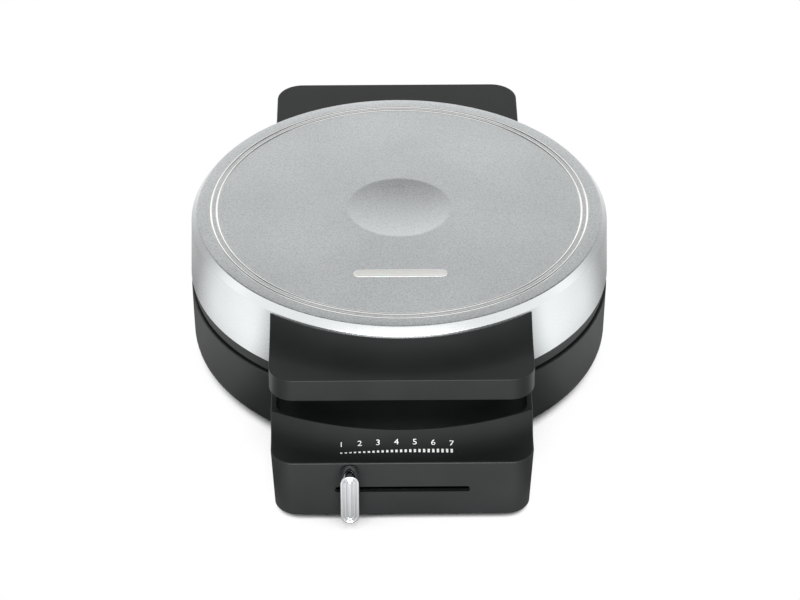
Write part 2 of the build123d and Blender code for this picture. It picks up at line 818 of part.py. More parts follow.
def base_housing():
    section = outline((0, bowl_bottom), (bowl_foot_r, bowl_bottom), (bowl_r, rim_level), (0, rim_level))
    section = rounded(section, BOWL_CORNER, (bowl_foot_r, bowl_bottom))
    body = turned(rounded(section, RIM_EDGE, (bowl_r, rim_level)))
    body = body + control_box() + base_rear_block() - base_cavity()
    body += tube(bowl_inner_r + WALL / 2, bowl_inner_r - LEDGE_DEPTH, ledge_top - LEDGE_THICK, ledge_top)
    for place in cover_screw_places():
        body += place * rod(COVER_BOSS_R, floor_top, ledge_top - LEDGE_THICK)
        body -= place * rod(SCREW_R, floor_top - 1, floor_top + COVER_SCREW_BITE)
    for place in plate_screw_places():
        body -= place * rod(SCREW_R + SCREW_SLACK, ledge_top - LEDGE_THICK - 1, ledge_top + 1)
    slot = Plane.XZ * (Pos(0, slot_level) * SlotOverall(2 * SLOT_HALF_LENGTH, SLOT_HEIGHT))
    body -= Pos(0, box_front - 1, 0) * extrude(slot, -WALL - 2)
    bore = BARREL_HALF - BUSH_LENGTH
    body -= rod_x(PIN_R + BUSH_WALL, -BARREL_HALF - 1, BARREL_HALF + 1, hinge_y, hinge_z)
    body += rod_x(KNUCKLE_R, -bore, bore, hinge_y, hinge_z) - rod_x(
        PIN_R + HINGE_GAP, -bore, bore, hinge_y, hinge_z
    )
    boss_far = rear_face - WALL
    body += rod_y(INLET_R + WALL, boss_far - INLET_TAIL / 2, boss_far + WALL / 2, INLET_X, inlet_level)
    body -= rod_y(INLET_R, boss_far - INLET_TAIL, rear_face + 1, INLET_X, inlet_level)
    return body - rod_y(INLET_FLANGE_R, rear_face - INLET_FLANGE_THICK, rear_face + 1, INLET_X, inlet_level)


def bottom_cover():
    plate = prism(cover_plan(), bowl_bottom, floor_top)
    first = -(VENT_COUNT - 1) / 2
    for number in range(VENT_COUNT):
        slot = Pos(0, (first + number) * VENT_PITCH) * SlotOverall(VENT_LENGTH, VENT_WIDTH)
        plate -= prism(slot, bowl_bottom - 1, floor_top + 1)
    for place in cover_screw_places():
        plate -= place * rod(SCREW_R + SCREW_SLACK, bowl_bottom - 1, floor_top + 1)
        plate -= place * rod(HEAD_R + SCREW_SLACK, bowl_bottom - 1, bowl_bottom + COVER_THICK / 2)
    for x, y in foot_places():
        plate -= rod(FOOT_STUD_R, bowl_bottom - 1, floor_top + 1, x, y)
    return plate


def cover_screws():
    top = bowl_bottom + COVER_THICK / 2
    head = COVER_THICK / 2
    one = Pos(0, 0, top) * screw(HEAD_R, head, SCREW_R, COVER_THICK / 2 + COVER_SCREW_BITE)
    return group([place * one for place in cover_screw_places()])


def foot_places():
    front = box_front + FOOT_FRONT_INSET
    rear = rear_face - FOOT_REAR_INSET
    return [(side * FOOT_X, y) for y in (front, rear) for side in (-1, 1)]


def feet():
    """Rubber feet, each with a stud snapped through the bottom cover."""
    made = []
    for x, y in foot_places():
        foot = rod(FOOT_R, 0, bowl_bottom, x, y)
        rim = foot.edges().filter_by_position(Axis.Z, -0.01, 0.01)
        foot = fillet(rim, FOOT_HEIGHT / 4)
        foot += rod(FOOT_STUD_R, 0, floor_top, x, y)
        foot += rod(FOOT_HEAD_R, floor_top, floor_top + FOOT_HEAD_THICK, x, y)
        made.append(foot)
    return group(made)


def hinge_pins():
    pins = []
    for side in (-1, 1):
        inner = side * (BARREL_HALF - PIN_IN_BARREL)
        outer = side * (BARREL_HALF + HINGE_GAP + PIN_IN_KNUCKLE)
        pins.append(rod_x(PIN_R, min(inner, outer), max(inner, outer), hinge_y, hinge_z))
    return group(pins)


def hinge_bushes():
    bushes = []
    for side in (-1, 1):
        inner = side * (BARREL_HALF - BUSH_LENGTH)
        outer = side * BARREL_HALF
        ends = (min(inner, outer), max(inner, outer))
        bush = rod_x(PIN_R + BUSH_WALL, *ends, hinge_y, hinge_z)
        bushes.append(bush - rod_x(PIN_R + PIN_CLEARANCE, *ends, hinge_y, hinge_z))
    return group(bushes)


def slide_piece(length, height, near, far, level):
    """A bar with rounded ends that lies across the object and runs from near to far in Y."""
    face = Plane.XZ * (Pos(KNOB_REST_X, level) * SlotOverall(length, height))
    return Pos(0, near, 0) * extrude(face, near - far)


def slider_knob():
    face = Plane.XZ * (Pos(KNOB_REST_X, knob_level) * SlotOverall(KNOB_HEIGHT, KNOB_WIDTH, rotation=90))
    knob = Pos(0, knob_front, 0) * extrude(face, -KNOB_DEPTH)
    front = knob.edges().filter_by_position(Axis.Y, knob_front - 0.01, knob_front + 0.01)
    knob = fillet(front, KNOB_EDGE)
    return knob - slide_piece(STEM_LENGTH_X, stem_height, knob_back - KNOB_SOCKET, knob_back + 1, slot_level)


def rack_outline():
    """The rack seen from above, teeth towards +Y, with a gap between teeth at x = 0 when at rest."""
    low = -(SLIDE_HIGH + KNOB_REST_X) - RACK_END + KNOB_REST_X
    high = SLIDE_LOW - KNOB_REST_X + RACK_END + KNOB_REST_X
    slope = math.tan(math.radians(PRESSURE_ANGLE))
    tip = pitch_line + MODULE
    half = (rack_pitch / 2 - BACKLASH) / 2
    points = [(low, rack_back), (high, rack_back), (high, rack_root)]
    last = math.floor((high - rack_pitch / 2) / rack_pitch)
    first = math.ceil((low + rack_pitch / 2) / rack_pitch) - 1
    for number in range(last, first, -1):
        middle = (number - 0.5) * rack_pitch
        wide = half + 1.25 * MODULE * slope
        narrow = half - MODULE * slope
        points += [
            (middle + wide, rack_root),
            (middle + narrow, tip),
            (middle - narrow, tip),
            (middle - wide, rack_root),
        ]
    points.append((low, rack_root))
    return make_face(Polyline(*points, close=True))


def slider_carriage():
    rack = prism(rack_outline(), rack_low, rack_high)
    return rack + slide_piece(STEM_LENGTH_X, stem_height, knob_back - KNOB_SOCKET, rack_back + 1, slot_level)


def slider_guide():
    """A channel along the front wall that the rack slides in."""
    half = cavity_half - GUIDE_SLACK
    front = rack_back - GUIDE_SLACK - GUIDE_WALL
    low = rack_low - GUIDE_SLACK - GUIDE_WALL
    high = rack_high + GUIDE_SLACK + GUIDE_WALL
    lip = rack_root
    half = min(half, cavity_half - BOX_CORNER / 4)
    body = block((-half, half), (front, lip), (low, high))
    body -= block(
        (-half - 1, half + 1),
        (rack_back - GUIDE_SLACK, lip + 1),
        (rack_low - GUIDE_SLACK, rack_high + GUIDE_SLACK),
    )
    slot = Plane.XZ * (Pos(0, slot_level) * SlotOverall(2 * SLOT_HALF_LENGTH, SLOT_HEIGHT))
    body -= Pos(0, front - 1, 0) * extrude(slot, -GUIDE_WALL - 2)
    for side in (-1, 1):
        x = side * GUIDE_FOOT_X
        body += block((x - GUIDE_FOOT / 2, x + GUIDE_FOOT / 2), (cavity_front, front), (low, high))
    return body


def pinion_tooth_side():
    """Points (radius, half angle) up one flank of a pinion tooth: a radial root, then an involute."""
    base = pitch_r * math.cos(math.radians(PRESSURE_ANGLE))

    def involute(radius):
        angle = math.acos(min(1.0, base / radius))
        return math.tan(angle) - angle

    at_pitch = (rack_pitch / 2 - BACKLASH) / 2 / pitch_r
    tip = pitch_r + MODULE
    steps = 4
    side = [(pitch_r - 1.25 * MODULE, at_pitch + involute(pitch_r))]
    for step in range(steps + 1):
        radius = base + (tip - base) * step / steps
        side.append((radius, at_pitch + involute(pitch_r) - involute(radius)))
    return side


def control_pinion():
    side = pinion_tooth_side()
    points = []
    for tooth in range(PINION_TEETH):
        middle = -math.pi / 2 + 2 * math.pi * tooth / PINION_TEETH
        for sign, flank in ((-1, side), (1, side[::-1])):
            for radius, half in flank:
                angle = middle + sign * half
                points.append((radius * math.cos(angle), pinion_y + radius * math.sin(angle)))
    gear = prism(make_face(Polyline(*points, close=True)), rack_low, rack_high)
    gear += rod(HUB_R, spindle_low + BRACKET_SHEET + GUIDE_SLACK, rack_low, 0, pinion_y)
    return gear - rod(SPINDLE_R, spindle_low, rack_high + 1, 0, pinion_y)


def thermostat_spindle():
    return rod(SPINDLE_R, spindle_low, thermostat_low + SPINDLE_SEAT, 0, pinion_y)


def thermostat_body():
    can = rod(THERMOSTAT_R, thermostat_low, ceiling, 0, pinion_y)
    seat_top = thermostat_low + SPINDLE_SEAT + 1
    return can - rod(SPINDLE_R + PIN_CLEARANCE, thermostat_low - 1, seat_top, 0, pinion_y)


def thermostat_bracket():
    """A strap under the pinion that carries the spindle's lower end, with legs up to the ceiling."""
    near = pinion_y - BRACKET_DEPTH / 3
    far = near + BRACKET_DEPTH
    half = BRACKET_HALF_WIDTH
    strap = block((-half, half), (near, far), (spindle_low, spindle_low + BRACKET_SHEET))
    for side in (-1, 1):
        inner = side * (half - BRACKET_SHEET)
        ends = (min(inner, side * half), max(inner, side * half))
        strap += block(ends, (near, far), (spindle_low, ceiling))
    strap_top = spindle_low + BRACKET_SHEET + 1
    return strap - rod(SPINDLE_R + PIN_CLEARANCE, spindle_low - 1, strap_top, 0, pinion_y)


def cord_inlet():
    """The bush that the supply lead would pass through, flush with the rear wall."""
    tail = rear_face - WALL - INLET_TAIL
    bush = rod_y(INLET_R, tail, rear_face, INLET_X, inlet_level)
    bush += rod_y(INLET_FLANGE_R, rear_face - INLET_FLANGE_THICK, rear_face, INLET_X, inlet_level)
    return bush - rod_y(INLET_BORE_R, tail - 1, rear_face + 1, INLET_X, inlet_level)


def terminal_block():
    length, depth, height = TERMINAL_BLOCK
    left = TERMINAL_BLOCK_X - length / 2
    near = bowl_r + WALL
    body = block((left, left + length), (near, near + depth), (floor_top, floor_top + height))
    pitch = length / TERMINAL_POLES
    for pole in range(TERMINAL_POLES):
        x = left + (pole + 0.5) * pitch
        body -= rod(depth / 5, floor_top + height / 2, floor_top + height + 1, x, near + depth / 2)
        body -= rod_y(depth / 7, near - 1, near + depth + 1, x, floor_top + height / 4)
    return body


def thermal_fuse():
    """A one-shot fuse held to the lower plate's underside by a strap."""
    level = core_bottom - FUSE_R
    body = rod_x(FUSE_R, FUSE_X - FUSE_LENGTH / 2, FUSE_X + FUSE_LENGTH / 2, 0, level)
    strap_low = core_bottom - 2 * FUSE_R - FUSE_STRAP
    strap = block((FUSE_X - 2, FUSE_X + 2), (-2 * FUSE_R, 2 * FUSE_R), (strap_low, core_bottom))
    return body + strap


PIECES = {
    "lid_cover": lid_cover,
    "lid_rim": lid_rim,
    "lid_handle": lid_handle,
    "lid_hinge_block": lid_hinge_block,
    "handle_screws": lambda: side_screws(side_screw_places()[0]),
    "hinge_block_screws": lambda: side_screws(side_screw_places()[1]),
    "light_lens": light_lens,
    "lamp_holder": lamp_holder,
    "pilot_lamps": pilot_lamps,
    "lower_plate": baking_plate,
    "lower_element": heating_element,
    "lower_reflector": reflector,
    "upper_plate_screws": lambda: upper(plate_screws(RIM_SHELF_THICK)),
    "base_housing": base_housing,
    "bottom_cover": bottom_cover,
    "cover_screws": cover_screws,
    "feet": feet,
    "lower_plate_screws": lambda: plate_screws(LEDGE_THICK),
    "hinge_pins": hinge_pins,
    "hinge_bushes": hinge_bushes,
    "slider_knob": slider_knob,
    "slider_carriage": slider_carriage,
    "slider_guide": slider_guide,
    "control_pinion": control_pinion,
    "thermostat_spindle": thermostat_spindle,
    "thermostat_body": thermostat_body,
    "thermostat_bracket": thermostat_bracket,
    "cord_inlet": cord_inlet,
    "terminal_block": terminal_block,
    "thermal_fuse": thermal_fuse,
}

made = {name: make() for name, make in PIECES.items()}
for name in ("plate", "element", "reflector"):
    made[f"upper_{name}"] = upper(made[f"lower_{name}"])

os.makedirs("parts", exist_ok=True)
for name, piece in made.items():
    shape = Pos(0, axis_y, 0) * piece
    export_step(shape, f"parts/{name}.step")
    print(name, len(shape.solids()), round(sum(solid.volume for solid in shape.solids())))
print("lid axis at y", round(axis_y, 3), "pinion axis at y", round(pinion_y + axis_y, 3))
print("hinge axis at y", round(hinge_y + axis_y, 3), "z", round(hinge_z, 3))
print("overall length", round(rear_face - knob_front, 2))
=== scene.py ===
import math

import bmesh
import bpy
import numpy as np
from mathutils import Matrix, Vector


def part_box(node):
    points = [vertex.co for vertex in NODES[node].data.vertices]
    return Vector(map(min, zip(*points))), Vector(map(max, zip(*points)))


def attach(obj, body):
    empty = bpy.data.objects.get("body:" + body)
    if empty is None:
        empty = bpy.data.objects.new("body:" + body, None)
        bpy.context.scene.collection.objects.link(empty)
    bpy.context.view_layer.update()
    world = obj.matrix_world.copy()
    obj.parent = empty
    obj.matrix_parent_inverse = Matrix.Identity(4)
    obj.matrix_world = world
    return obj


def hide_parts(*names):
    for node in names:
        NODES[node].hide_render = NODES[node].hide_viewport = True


bl_info = {
    "name": "Heart Waffle Maker",
    "version": (1, 0, 0),
    "blender": (4, 5, 0),
    "location": "View3D > Sidebar > Waffle Maker",
    "description": "Surfaces and finishes of a round heart waffle maker around its packed frame",
    "category": "Object",
}

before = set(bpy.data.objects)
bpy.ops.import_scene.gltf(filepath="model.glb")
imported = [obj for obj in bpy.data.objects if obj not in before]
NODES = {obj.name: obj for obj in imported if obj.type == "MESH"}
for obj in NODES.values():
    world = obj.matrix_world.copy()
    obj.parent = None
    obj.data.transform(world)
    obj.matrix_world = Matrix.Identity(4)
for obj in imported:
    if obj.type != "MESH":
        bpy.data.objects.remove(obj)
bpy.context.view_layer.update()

MM = 0.001
FULL_TURN = 2 * math.pi


def edge_of(node, end, axis):
    """One coordinate of a CAD node's box: end 0 is its lowest corner and 1 its highest."""
    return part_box(node)[end][axis]


# Places read from the frame, in metres. The lid's axis is the middle of the steel cover.
AXIS_Y = (edge_of("lid_cover", 0, 1) + edge_of("lid_cover", 1, 1)) / 2
STEEL_R = edge_of("lid_cover", 1, 0)
STEEL_EDGE = edge_of("lid_cover", 0, 2)
BOX_FRONT_R = AXIS_Y - edge_of("base_housing", 0, 1)
PLATE_R = edge_of("lower_plate", 1, 0)
PLATE_TOP = edge_of("lower_plate", 1, 2)
PLATE_LOW = edge_of("lower_plate", 0, 2)
PLATE_PLANE = (edge_of("lower_plate", 1, 2) + edge_of("upper_plate", 0, 2)) / 2

# Sheet steel cover of the lid
SHEET = 0.8 * MM
BEAD_HEIGHT = 0.4 * MM
LID_TOP = edge_of("lid_cover", 1, 2) - BEAD_HEIGHT
FACE_R = STEEL_R - 4.2 * MM
BEVEL_R = STEEL_R - 1.3 * MM
BEVEL_FOOT = LID_TOP - 4.0 * MM
EDGE_ROUND = 1.0 * MM
BEAD_RADII = (FACE_R - 10.7 * MM, FACE_R - 7.55 * MM)
BEAD_WIDTH = 1.5 * MM
BEAD_STEPS = 13
DISH_R = 28.0 * MM
DISH_STEPS = 25
FLAT_START = 0.5 * MM
CUT_EDGE_ROUND = 0.2 * MM
TURN_STEPS = 288
SLOT_STEPS = 24

# Lens of the pilot lamps
LENS_LENGTH = 49.8 * MM
LENS_WIDTH = 7.0 * MM
LENS_PROUD = edge_of("light_lens", 1, 2) - LID_TOP
LENS_Y = (edge_of("light_lens", 0, 1) + edge_of("light_lens", 1, 1)) / 2
LENS_GAP = 0.1 * MM
LENS_FLANGE = 1.6 * MM
LENS_ROUND = 0.2 * MM
LENS_ROUND_MIDDLE = 0.06 * MM
LENS_TOP_INSET = 0.35 * MM
LENS_TOP_STEPS = 16
LENS_LAST_RING = 0.97
LENS_LINE_INSET = 1.1 * MM
LENS_LINE_HALF = 0.22 * MM
LENS_LINE_DEPTH = 0.12 * MM

# Deck in front of the bowl, swept up to a crest, which carries the printed scale
CREST_R = STEEL_R + 31.5 * MM
CREST_RISE = 7.2 * MM
DECK_R = BOX_FRONT_R - 1.5 * MM
DECK_LEVEL = STEEL_EDGE - 10.0 * MM
SCALE_FIRST_X = -31.05 * MM
SCALE_STEP = 2.338 * MM
SCALE_BARS = 25
SCALE_NUMBERS = 7
BAR_WIDTH = 1.15 * MM
BAR_FOOT_Y = AXIS_Y - 155.0 * MM
BAR_LEAST = 0.6 * MM
BAR_MOST = 2.3 * MM
NUMBER_FOOT_Y = AXIS_Y - 150.8 * MM
NUMBER_HEIGHT = 2.5 * MM
NUMBER_BROADER = 1.4
INK = 0.04 * MM

# Chrome knob of the temperature slide
KNOB_EDGE = 0.6 * MM
KNOB_GROOVES = (1.7 * MM, 3.4 * MM)
KNOB_GROOVE_WIDTH = 0.9 * MM
KNOB_BACK_EDGE = 0.4 * MM
KNOB_FACE_STEPS = 44
KNOB_LAST_RING = 0.985
KNOB_STEPS = 32

# Cast baking plates: five hearts with their points to the middle
HEARTS = 5
HEART_DEPTH = 5.5 * MM
HEART_MARGIN = 9.8 * MM
HEART_GAP = 6.25 * MM
LOBE_OVERLAP = 3.0 * MM
HEART_POINT = 2.0 * MM
WALL_RUN = 2.2 * MM
RIDGE_WIDTH = 2.6 * MM
RIDGE_PITCH = 12.4 * MM
RIDGE_FLANK = 0.9 * MM
POOL_R = 12.0 * MM
PLATE_FLOOR = 3.8 * MM
FLANGE_THICK = 7.55 * MM
FLANGE_WIDTH = 16.0 * MM
SEAT_MIDDLE = PLATE_R - FLANGE_WIDTH - 21.5 * MM
SEAT_WIDTH = 12.0 * MM
SEAT_GROOVE = 3.25 * MM
PLATE_EDGE = 0.4 * MM
PLATE_STEPS_AROUND = 560
PLATE_STEPS_OUT = 118

# Rubber feet
FOOT_R = 8.0 * MM
FOOT_RING_R = 5.0 * MM
FOOT_HOLLOW = 0.5 * MM
FOOT_DRAFT = 0.3 * MM
FOOT_STEPS = 48

# Grain of the finishes: the part of the noise that each change is spread over
DRIFT_SPAN = (0.35, 0.65)
GRAIN_SPAN = (0.3, 0.7)
# Part of the grain over which painted shade darkens the colour in the pits of the relief
PIT_SHADE_SPAN = (0.35, 0.6)

# The photograph's view: its line of sight, its distance and its lens
SIGHT_ELEVATION = 33.9
SIGHT_AZIMUTH = -0.6
SIGHT_DISTANCE = 1646 * MM
FOCAL_PIXELS = 3047.0
PICTURE = (800.0, 600.0)
LID_MIDDLE_AT = (399.0, 207.0)
SENSOR = 36.0
VIEW_REACH = 20.0

# Studio: heights are sines of the angle above the horizon, light is a share of white, and the lamp's power
# is in watts
WALL_STEP = (0.555, 0.58)
WALL_LIGHT = 1.5
WALL_UPPER_LIGHT = 0.5
FRONT_LIGHT = 1.0
CEILING_EDGE = (0.64, 0.78)
CEILING_LIGHT = 0.1
BEHIND = (-0.3, 0.3)
FLOOR_HALF = 4.0
# Brightness of the floor as mirroring surfaces see it, which is painted light
FLOOR_PAINTED_LIGHT = 1.6
# Ambient-occlusion limits, reach and samples of the painted shadow that the floor shows near the object
FLOOR_SHADE = (0.12, 0.45)
FLOOR_SHADE_REACH = 60 * MM
FLOOR_SHADE_SAMPLES = 8
# How strongly painted shade darkens the floor's reflection near the object
FLOOR_PAINTED_SHADE_POWER = 2.0
LAMP_PLACE = (0, -2.2, 0.45)
LAMP_AIM = (0, 0, 0.04)
LAMP_SIZE = (1.8, 0.6)
LAMP_POWER = 85

# Light around the studio, as stops (how far the direction points to the rear, share of the light)
SKY_AROUND = ((-1.0, 1.1), (-0.3, 1.3), (0.1, 1.2), (0.45, 0.4), (0.82, 0.45), (0.95, 1.0))
# Painted light and shade of the floor as mirroring surfaces see it, darker in some directions, by the same
# stops
FLOOR_PAINTED_AROUND = (
    (-1.0, 1.0), (-0.93, 1.0), (-0.84, 0.2), (-0.6, 0.2), (-0.4, 0.95),
    (0.05, 0.75), (0.35, 0.3), (0.6, 0.4), (0.8, 0.7),
)


class WaffleMakerSizes(bpy.types.PropertyGroup):
    """Sizes of the shown surfaces that someone may want to change."""

    dish_depth: bpy.props.FloatProperty(
        name="Dish depth", description="Depth of the shallow round dish in the lid",
        default=1.2 * MM, min=0.0, max=4 * MM, unit="LENGTH", subtype="DISTANCE", precision=4,
    )
    knob_groove_depth: bpy.props.FloatProperty(
        name="Knob groove depth", description="Depth of the two rings cut into the knob's front",
        default=0.45 * MM, min=0.0, max=1 * MM, unit="LENGTH", subtype="DISTANCE", precision=4,
    )
    ridge_height: bpy.props.FloatProperty(
        name="Ridge height", description="Height of the baking grid above a heart's floor",
        default=3.1 * MM, min=0.0, max=5 * MM, unit="LENGTH", subtype="DISTANCE", precision=4,
    )
    lens_crown: bpy.props.FloatProperty(
        name="Lens crown", description="Rise of the lens from its edge to its middle line",
        default=0.12 * MM, min=0.0, max=0.3 * MM, unit="LENGTH", subtype="DISTANCE", precision=4,
    )


class WaffleMakerColours(bpy.types.PropertyGroup):
    """Colours and gloss of the finishes that someone may want to change."""

    steel: bpy.props.StringProperty(
        name="Steel", description="Colour of the blasted steel, as an sRGB hex value", default="#D1D4D5"
    )
    plastic: bpy.props.StringProperty(
        name="Plastic", description="Colour of the black mouldings, as an sRGB hex value", default="#1A1C1C"
    )
    ink: bpy.props.StringProperty(
        name="Scale", description="Colour of the printed scale, as an sRGB hex value", default="#B9BAB8"
    )
    steel_roughness: bpy.props.FloatProperty(
        name="Steel roughness", description="Spread of the blasted steel's reflections",
        default=0.36, min=0.0, max=1.0, subtype="FACTOR",
    )


# Meshes


def run(corners, steps=7):
    """Points of a line through corners (a, b, radius): straight runs joined by an arc at each corner."""
    corners = np.asarray(corners, float)
    parts = [corners[:1, :2]]
    for before, here, after in zip(corners[:-2], corners[1:-1], corners[2:]):
        place, radius = here[:2], here[2]
        if radius == 0:
            parts.append(place[None])
            continue
        back = (before[:2] - place) / np.linalg.norm(before[:2] - place)
        on = (after[:2] - place) / np.linalg.norm(after[:2] - place)
        half = math.acos(float(np.clip(back @ on, -1, 1))) / 2
        middle = place + (back + on) / np.linalg.norm(back + on) * radius / math.sin(half)
        start = place + back * radius / math.tan(half) - middle
        end = place + on * radius / math.tan(half) - middle
        first = math.atan2(start[1], start[0])
        sweep = (math.atan2(end[1], end[0]) - first + math.pi) % FULL_TURN - math.pi
        turn = first + sweep * np.linspace(0, 1, steps)
        parts.append(middle + radius * np.stack([np.cos(turn), np.sin(turn)], axis=1))
    parts.append(corners[-1:, :2])
    return np.concatenate(parts)


def turned(profile, steps=TURN_STEPS, x=0.0, y=None):
    """Rings of a turned surface: the point (radius, height) at angle t is (x + r cos t, y + r sin t, h)."""
    angle = np.linspace(0, FULL_TURN, steps, endpoint=False)
    radius, height = np.asarray(profile).T
    across = x + radius[:, None] * np.cos(angle)
    along = (AXIS_Y if y is None else y) + radius[:, None] * np.sin(angle)
    return np.stack([across, along, np.broadcast_to(height[:, None], across.shape)], axis=-1)


def obround(length, width, inset, steps=SLOT_STEPS):
    """Outline of a slot, inset by a distance: x is r cos t moved out by half the straight run, and y is
    r sin t."""
    angle = (np.arange(2 * steps) + 0.5) / (2 * steps) * FULL_TURN
    radius = width / 2 - inset
    straight = (length - width) / 2
    along = radius * np.cos(angle) + straight * np.sign(np.cos(angle))
    return np.stack([along, radius * np.sin(angle)], axis=-1)


def quads(rings, closed):
    """Faces between neighbouring rings of points. Each ring is closed, and closed also joins the last ring
    to the first."""
    count, around = rings.shape[:2]
    index = np.arange(count * around).reshape(count, around)
    here = index if closed else index[:-1]
    there = np.roll(index, -1, axis=0) if closed else index[1:]
    corners = [here, there, np.roll(there, -1, axis=1), np.roll(here, -1, axis=1)]
    return np.stack(corners, axis=-1).reshape(-1, 4).tolist()


def make_piece(name, shells, sharp=35.0):
    """One object of several shells, each (rings, closed). Open shells get a face over each end ring."""
    points, faces = [], []
    for rings, closed in shells:
        start = sum(len(part) for part in points)
        around = rings.shape[1]
        shell = quads(rings, closed)
        if not closed:
            last = (rings.shape[0] - 1) * around
            shell.append(list(range(around)))
            shell.append(list(range(last, last + around)))
        points.append(rings.reshape(-1, 3))
        faces += [[start + corner for corner in face] for face in shell]
    mesh = bpy.data.meshes.new(name)
    mesh.from_pydata(np.concatenate(points).tolist(), [], faces)
    tidy(mesh, sharp)
    piece = bpy.data.objects.new(name, mesh)
    bpy.context.scene.collection.objects.link(piece)
    return piece


def tidy(mesh, sharp):
    """Merges doubled points, turns the faces outwards and shades smooth up to the given angle."""
    work = bmesh.new()
    work.from_mesh(mesh)
    bmesh.ops.remove_doubles(work, verts=work.verts, dist=0.002 * MM)
    bmesh.ops.dissolve_degenerate(work, edges=work.edges, dist=0.001 * MM)
    bmesh.ops.recalc_face_normals(work, faces=work.faces)
    work.to_mesh(mesh)
    work.free()
    mesh.shade_smooth()
    mesh.set_sharp_from_angle(angle=math.radians(sharp))


def cut_out(piece, tool, sharp=35.0):
    """Takes the tool's shape out of the piece and deletes the tool."""
    cut = piece.modifiers.new("cut", "BOOLEAN")
    cut.operation = "DIFFERENCE"
    cut.solver = "EXACT"
    cut.object = tool
    depsgraph = bpy.context.evaluated_depsgraph_get()
    mesh = bpy.data.meshes.new_from_object(piece.evaluated_get(depsgraph))
    piece.modifiers.clear()
    piece.data = mesh
    bpy.data.objects.remove(tool)
    mesh.shade_smooth()
    mesh.set_sharp_from_angle(angle=math.radians(sharp))


def dress(piece, body, slot, *materials, replaces=()):
    """Gives a new piece its materials, its body and the CAD nodes that it stands for. The slot name is not
    used.
    """
    for material in materials:
        piece.data.materials.append(material)
    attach(piece, body)
    if replaces:
        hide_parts(*replaces)


def paint(material, *names):
    """Gives CAD nodes a material in the slot that they came with."""
    for name in names:
        NODES[name].material_slots[0].material = material


# Materials


def linear(code):
    """Linear colour of an sRGB hex value."""
    shares = [int(code[place:place + 2], 16) / 255 for place in (1, 3, 5)]
    return (*[s / 12.92 if s <= 0.04045 else ((s + 0.055) / 1.055) ** 2.4 for s in shares], 1.0)


def add(tree, kind, settings=(), links=()):
    """Adds a node. Settings name its own values or its sockets. Links name its sockets and the output that
    feeds each, or a node whose first output does."""
    node = tree.nodes.new(kind)
    for name, value in dict(settings).items():
        if isinstance(name, str) and hasattr(node, name):
            setattr(node, name, value)
        else:
            node.inputs[name].default_value = value
    for name, source in dict(links).items():
        tree.links.new(getattr(source, "outputs", [source])[0], node.inputs[name])
    return node


def soft_step(low, high, before, after):
    """Settings of a range that goes smoothly from one value to another as its input goes from low to high."""
    limits = {"From Min": low, "From Max": high, "To Min": before, "To Max": after}
    return {"interpolation_type": "SMOOTHSTEP", **limits}


def finish_of(name, light, dark, roughness, grain, relief, cloud=30 * MM, pit_shade=0.0, **sockets):
    """A material whose colour drifts between two shades over a cloud's size, and whose roughness and relief
    follow a finer grain. Roughness is (least, most), and grain, relief and cloud are real sizes in metres. A
    darkening share paints shade into the colour in the lowest parts of the grain, the pits of the relief."""
    material = bpy.data.materials.new(name)
    material.use_nodes = True
    tree = material.node_tree
    shader = tree.nodes["Principled BSDF"]
    for socket, value in sockets.items():
        shader.inputs[socket.replace("_", " ")].default_value = value
    place = add(tree, "ShaderNodeTexCoord").outputs["Object"]
    drift = add(tree, "ShaderNodeTexNoise", {"Scale": 1 / cloud, "Detail": 3.0}, {"Vector": place})
    noise = {"Scale": 1 / grain, "Detail": 2.0, "Roughness": 0.6}
    fine = add(tree, "ShaderNodeTexNoise", noise, {"Vector": place})
    shade = add(tree, "ShaderNodeValToRGB", links={"Fac": drift})
    for stop, position, colour in zip(shade.color_ramp.elements, DRIFT_SPAN, (dark, light)):
        stop.position = position
        stop.color = linear(colour)
    limits = dict(zip(("From Min", "From Max", "To Min", "To Max"), (*GRAIN_SPAN, *roughness)))
    spread = add(tree, "ShaderNodeMapRange", limits, {"Value": fine})
    bump = add(tree, "ShaderNodeBump", {"Strength": 1.0, "Distance": relief}, {"Height": fine})
    # Colour darkened where the grain's relief is lowest: painted shade in the pits
    pit_unshaded = add(tree, "ShaderNodeMapRange", soft_step(*PIT_SHADE_SPAN, 1.0 - pit_shade, 1.0), {"Value": fine})
    pit_shaded_colour = add(tree, "ShaderNodeVectorMath", {"operation": "SCALE"}, {0: shade, "Scale": pit_unshaded})
    tree.links.new(pit_shaded_colour.outputs["Vector"], shader.inputs["Base Color"])
    tree.links.new(spread.outputs["Result"], shader.inputs["Roughness"])
    tree.links.new(bump.outputs["Normal"], shader.inputs["Normal"])
    return material


def blasted_steel(colours):
    """Stainless sheet blasted with glass beads: soft even reflections with a fine sparkle, and painted shade
    that darkens the colour in the pits of the grain. The grit's pits are about 0.08 mm, too fine to show, so
    the grain is drawn at 0.9 mm."""
    rough = colours.steel_roughness
    return finish_of(
        "blasted_stainless_steel", colours.steel, "#C9CCCD", (rough - 0.07, rough + 0.07),
        0.9 * MM, 0.05 * MM, cloud=60 * MM, pit_shade=0.25, Metallic=1.0,
    )


def satin_steel(colours):
    """Stainless bevel and wall, which the blasting left out: a smooth satin from rolling and drawing."""
    rough = colours.steel_roughness
    return finish_of(
        "satin_stainless_steel", colours.steel, "#CCCFD0", (rough - 0.12, rough - 0.06),
        0.5 * MM, 0.001 * MM, cloud=60 * MM, Metallic=1.0,
    )


def polished_steel():
    """Stainless beads and edges that were polished after pressing: bright thin lines."""
    return finish_of(
        "polished_stainless_steel", "#E9E9E7", "#E2E2E0", (0.08, 0.14), 0.4 * MM, 0.0005 * MM, Metallic=1.0,
    )


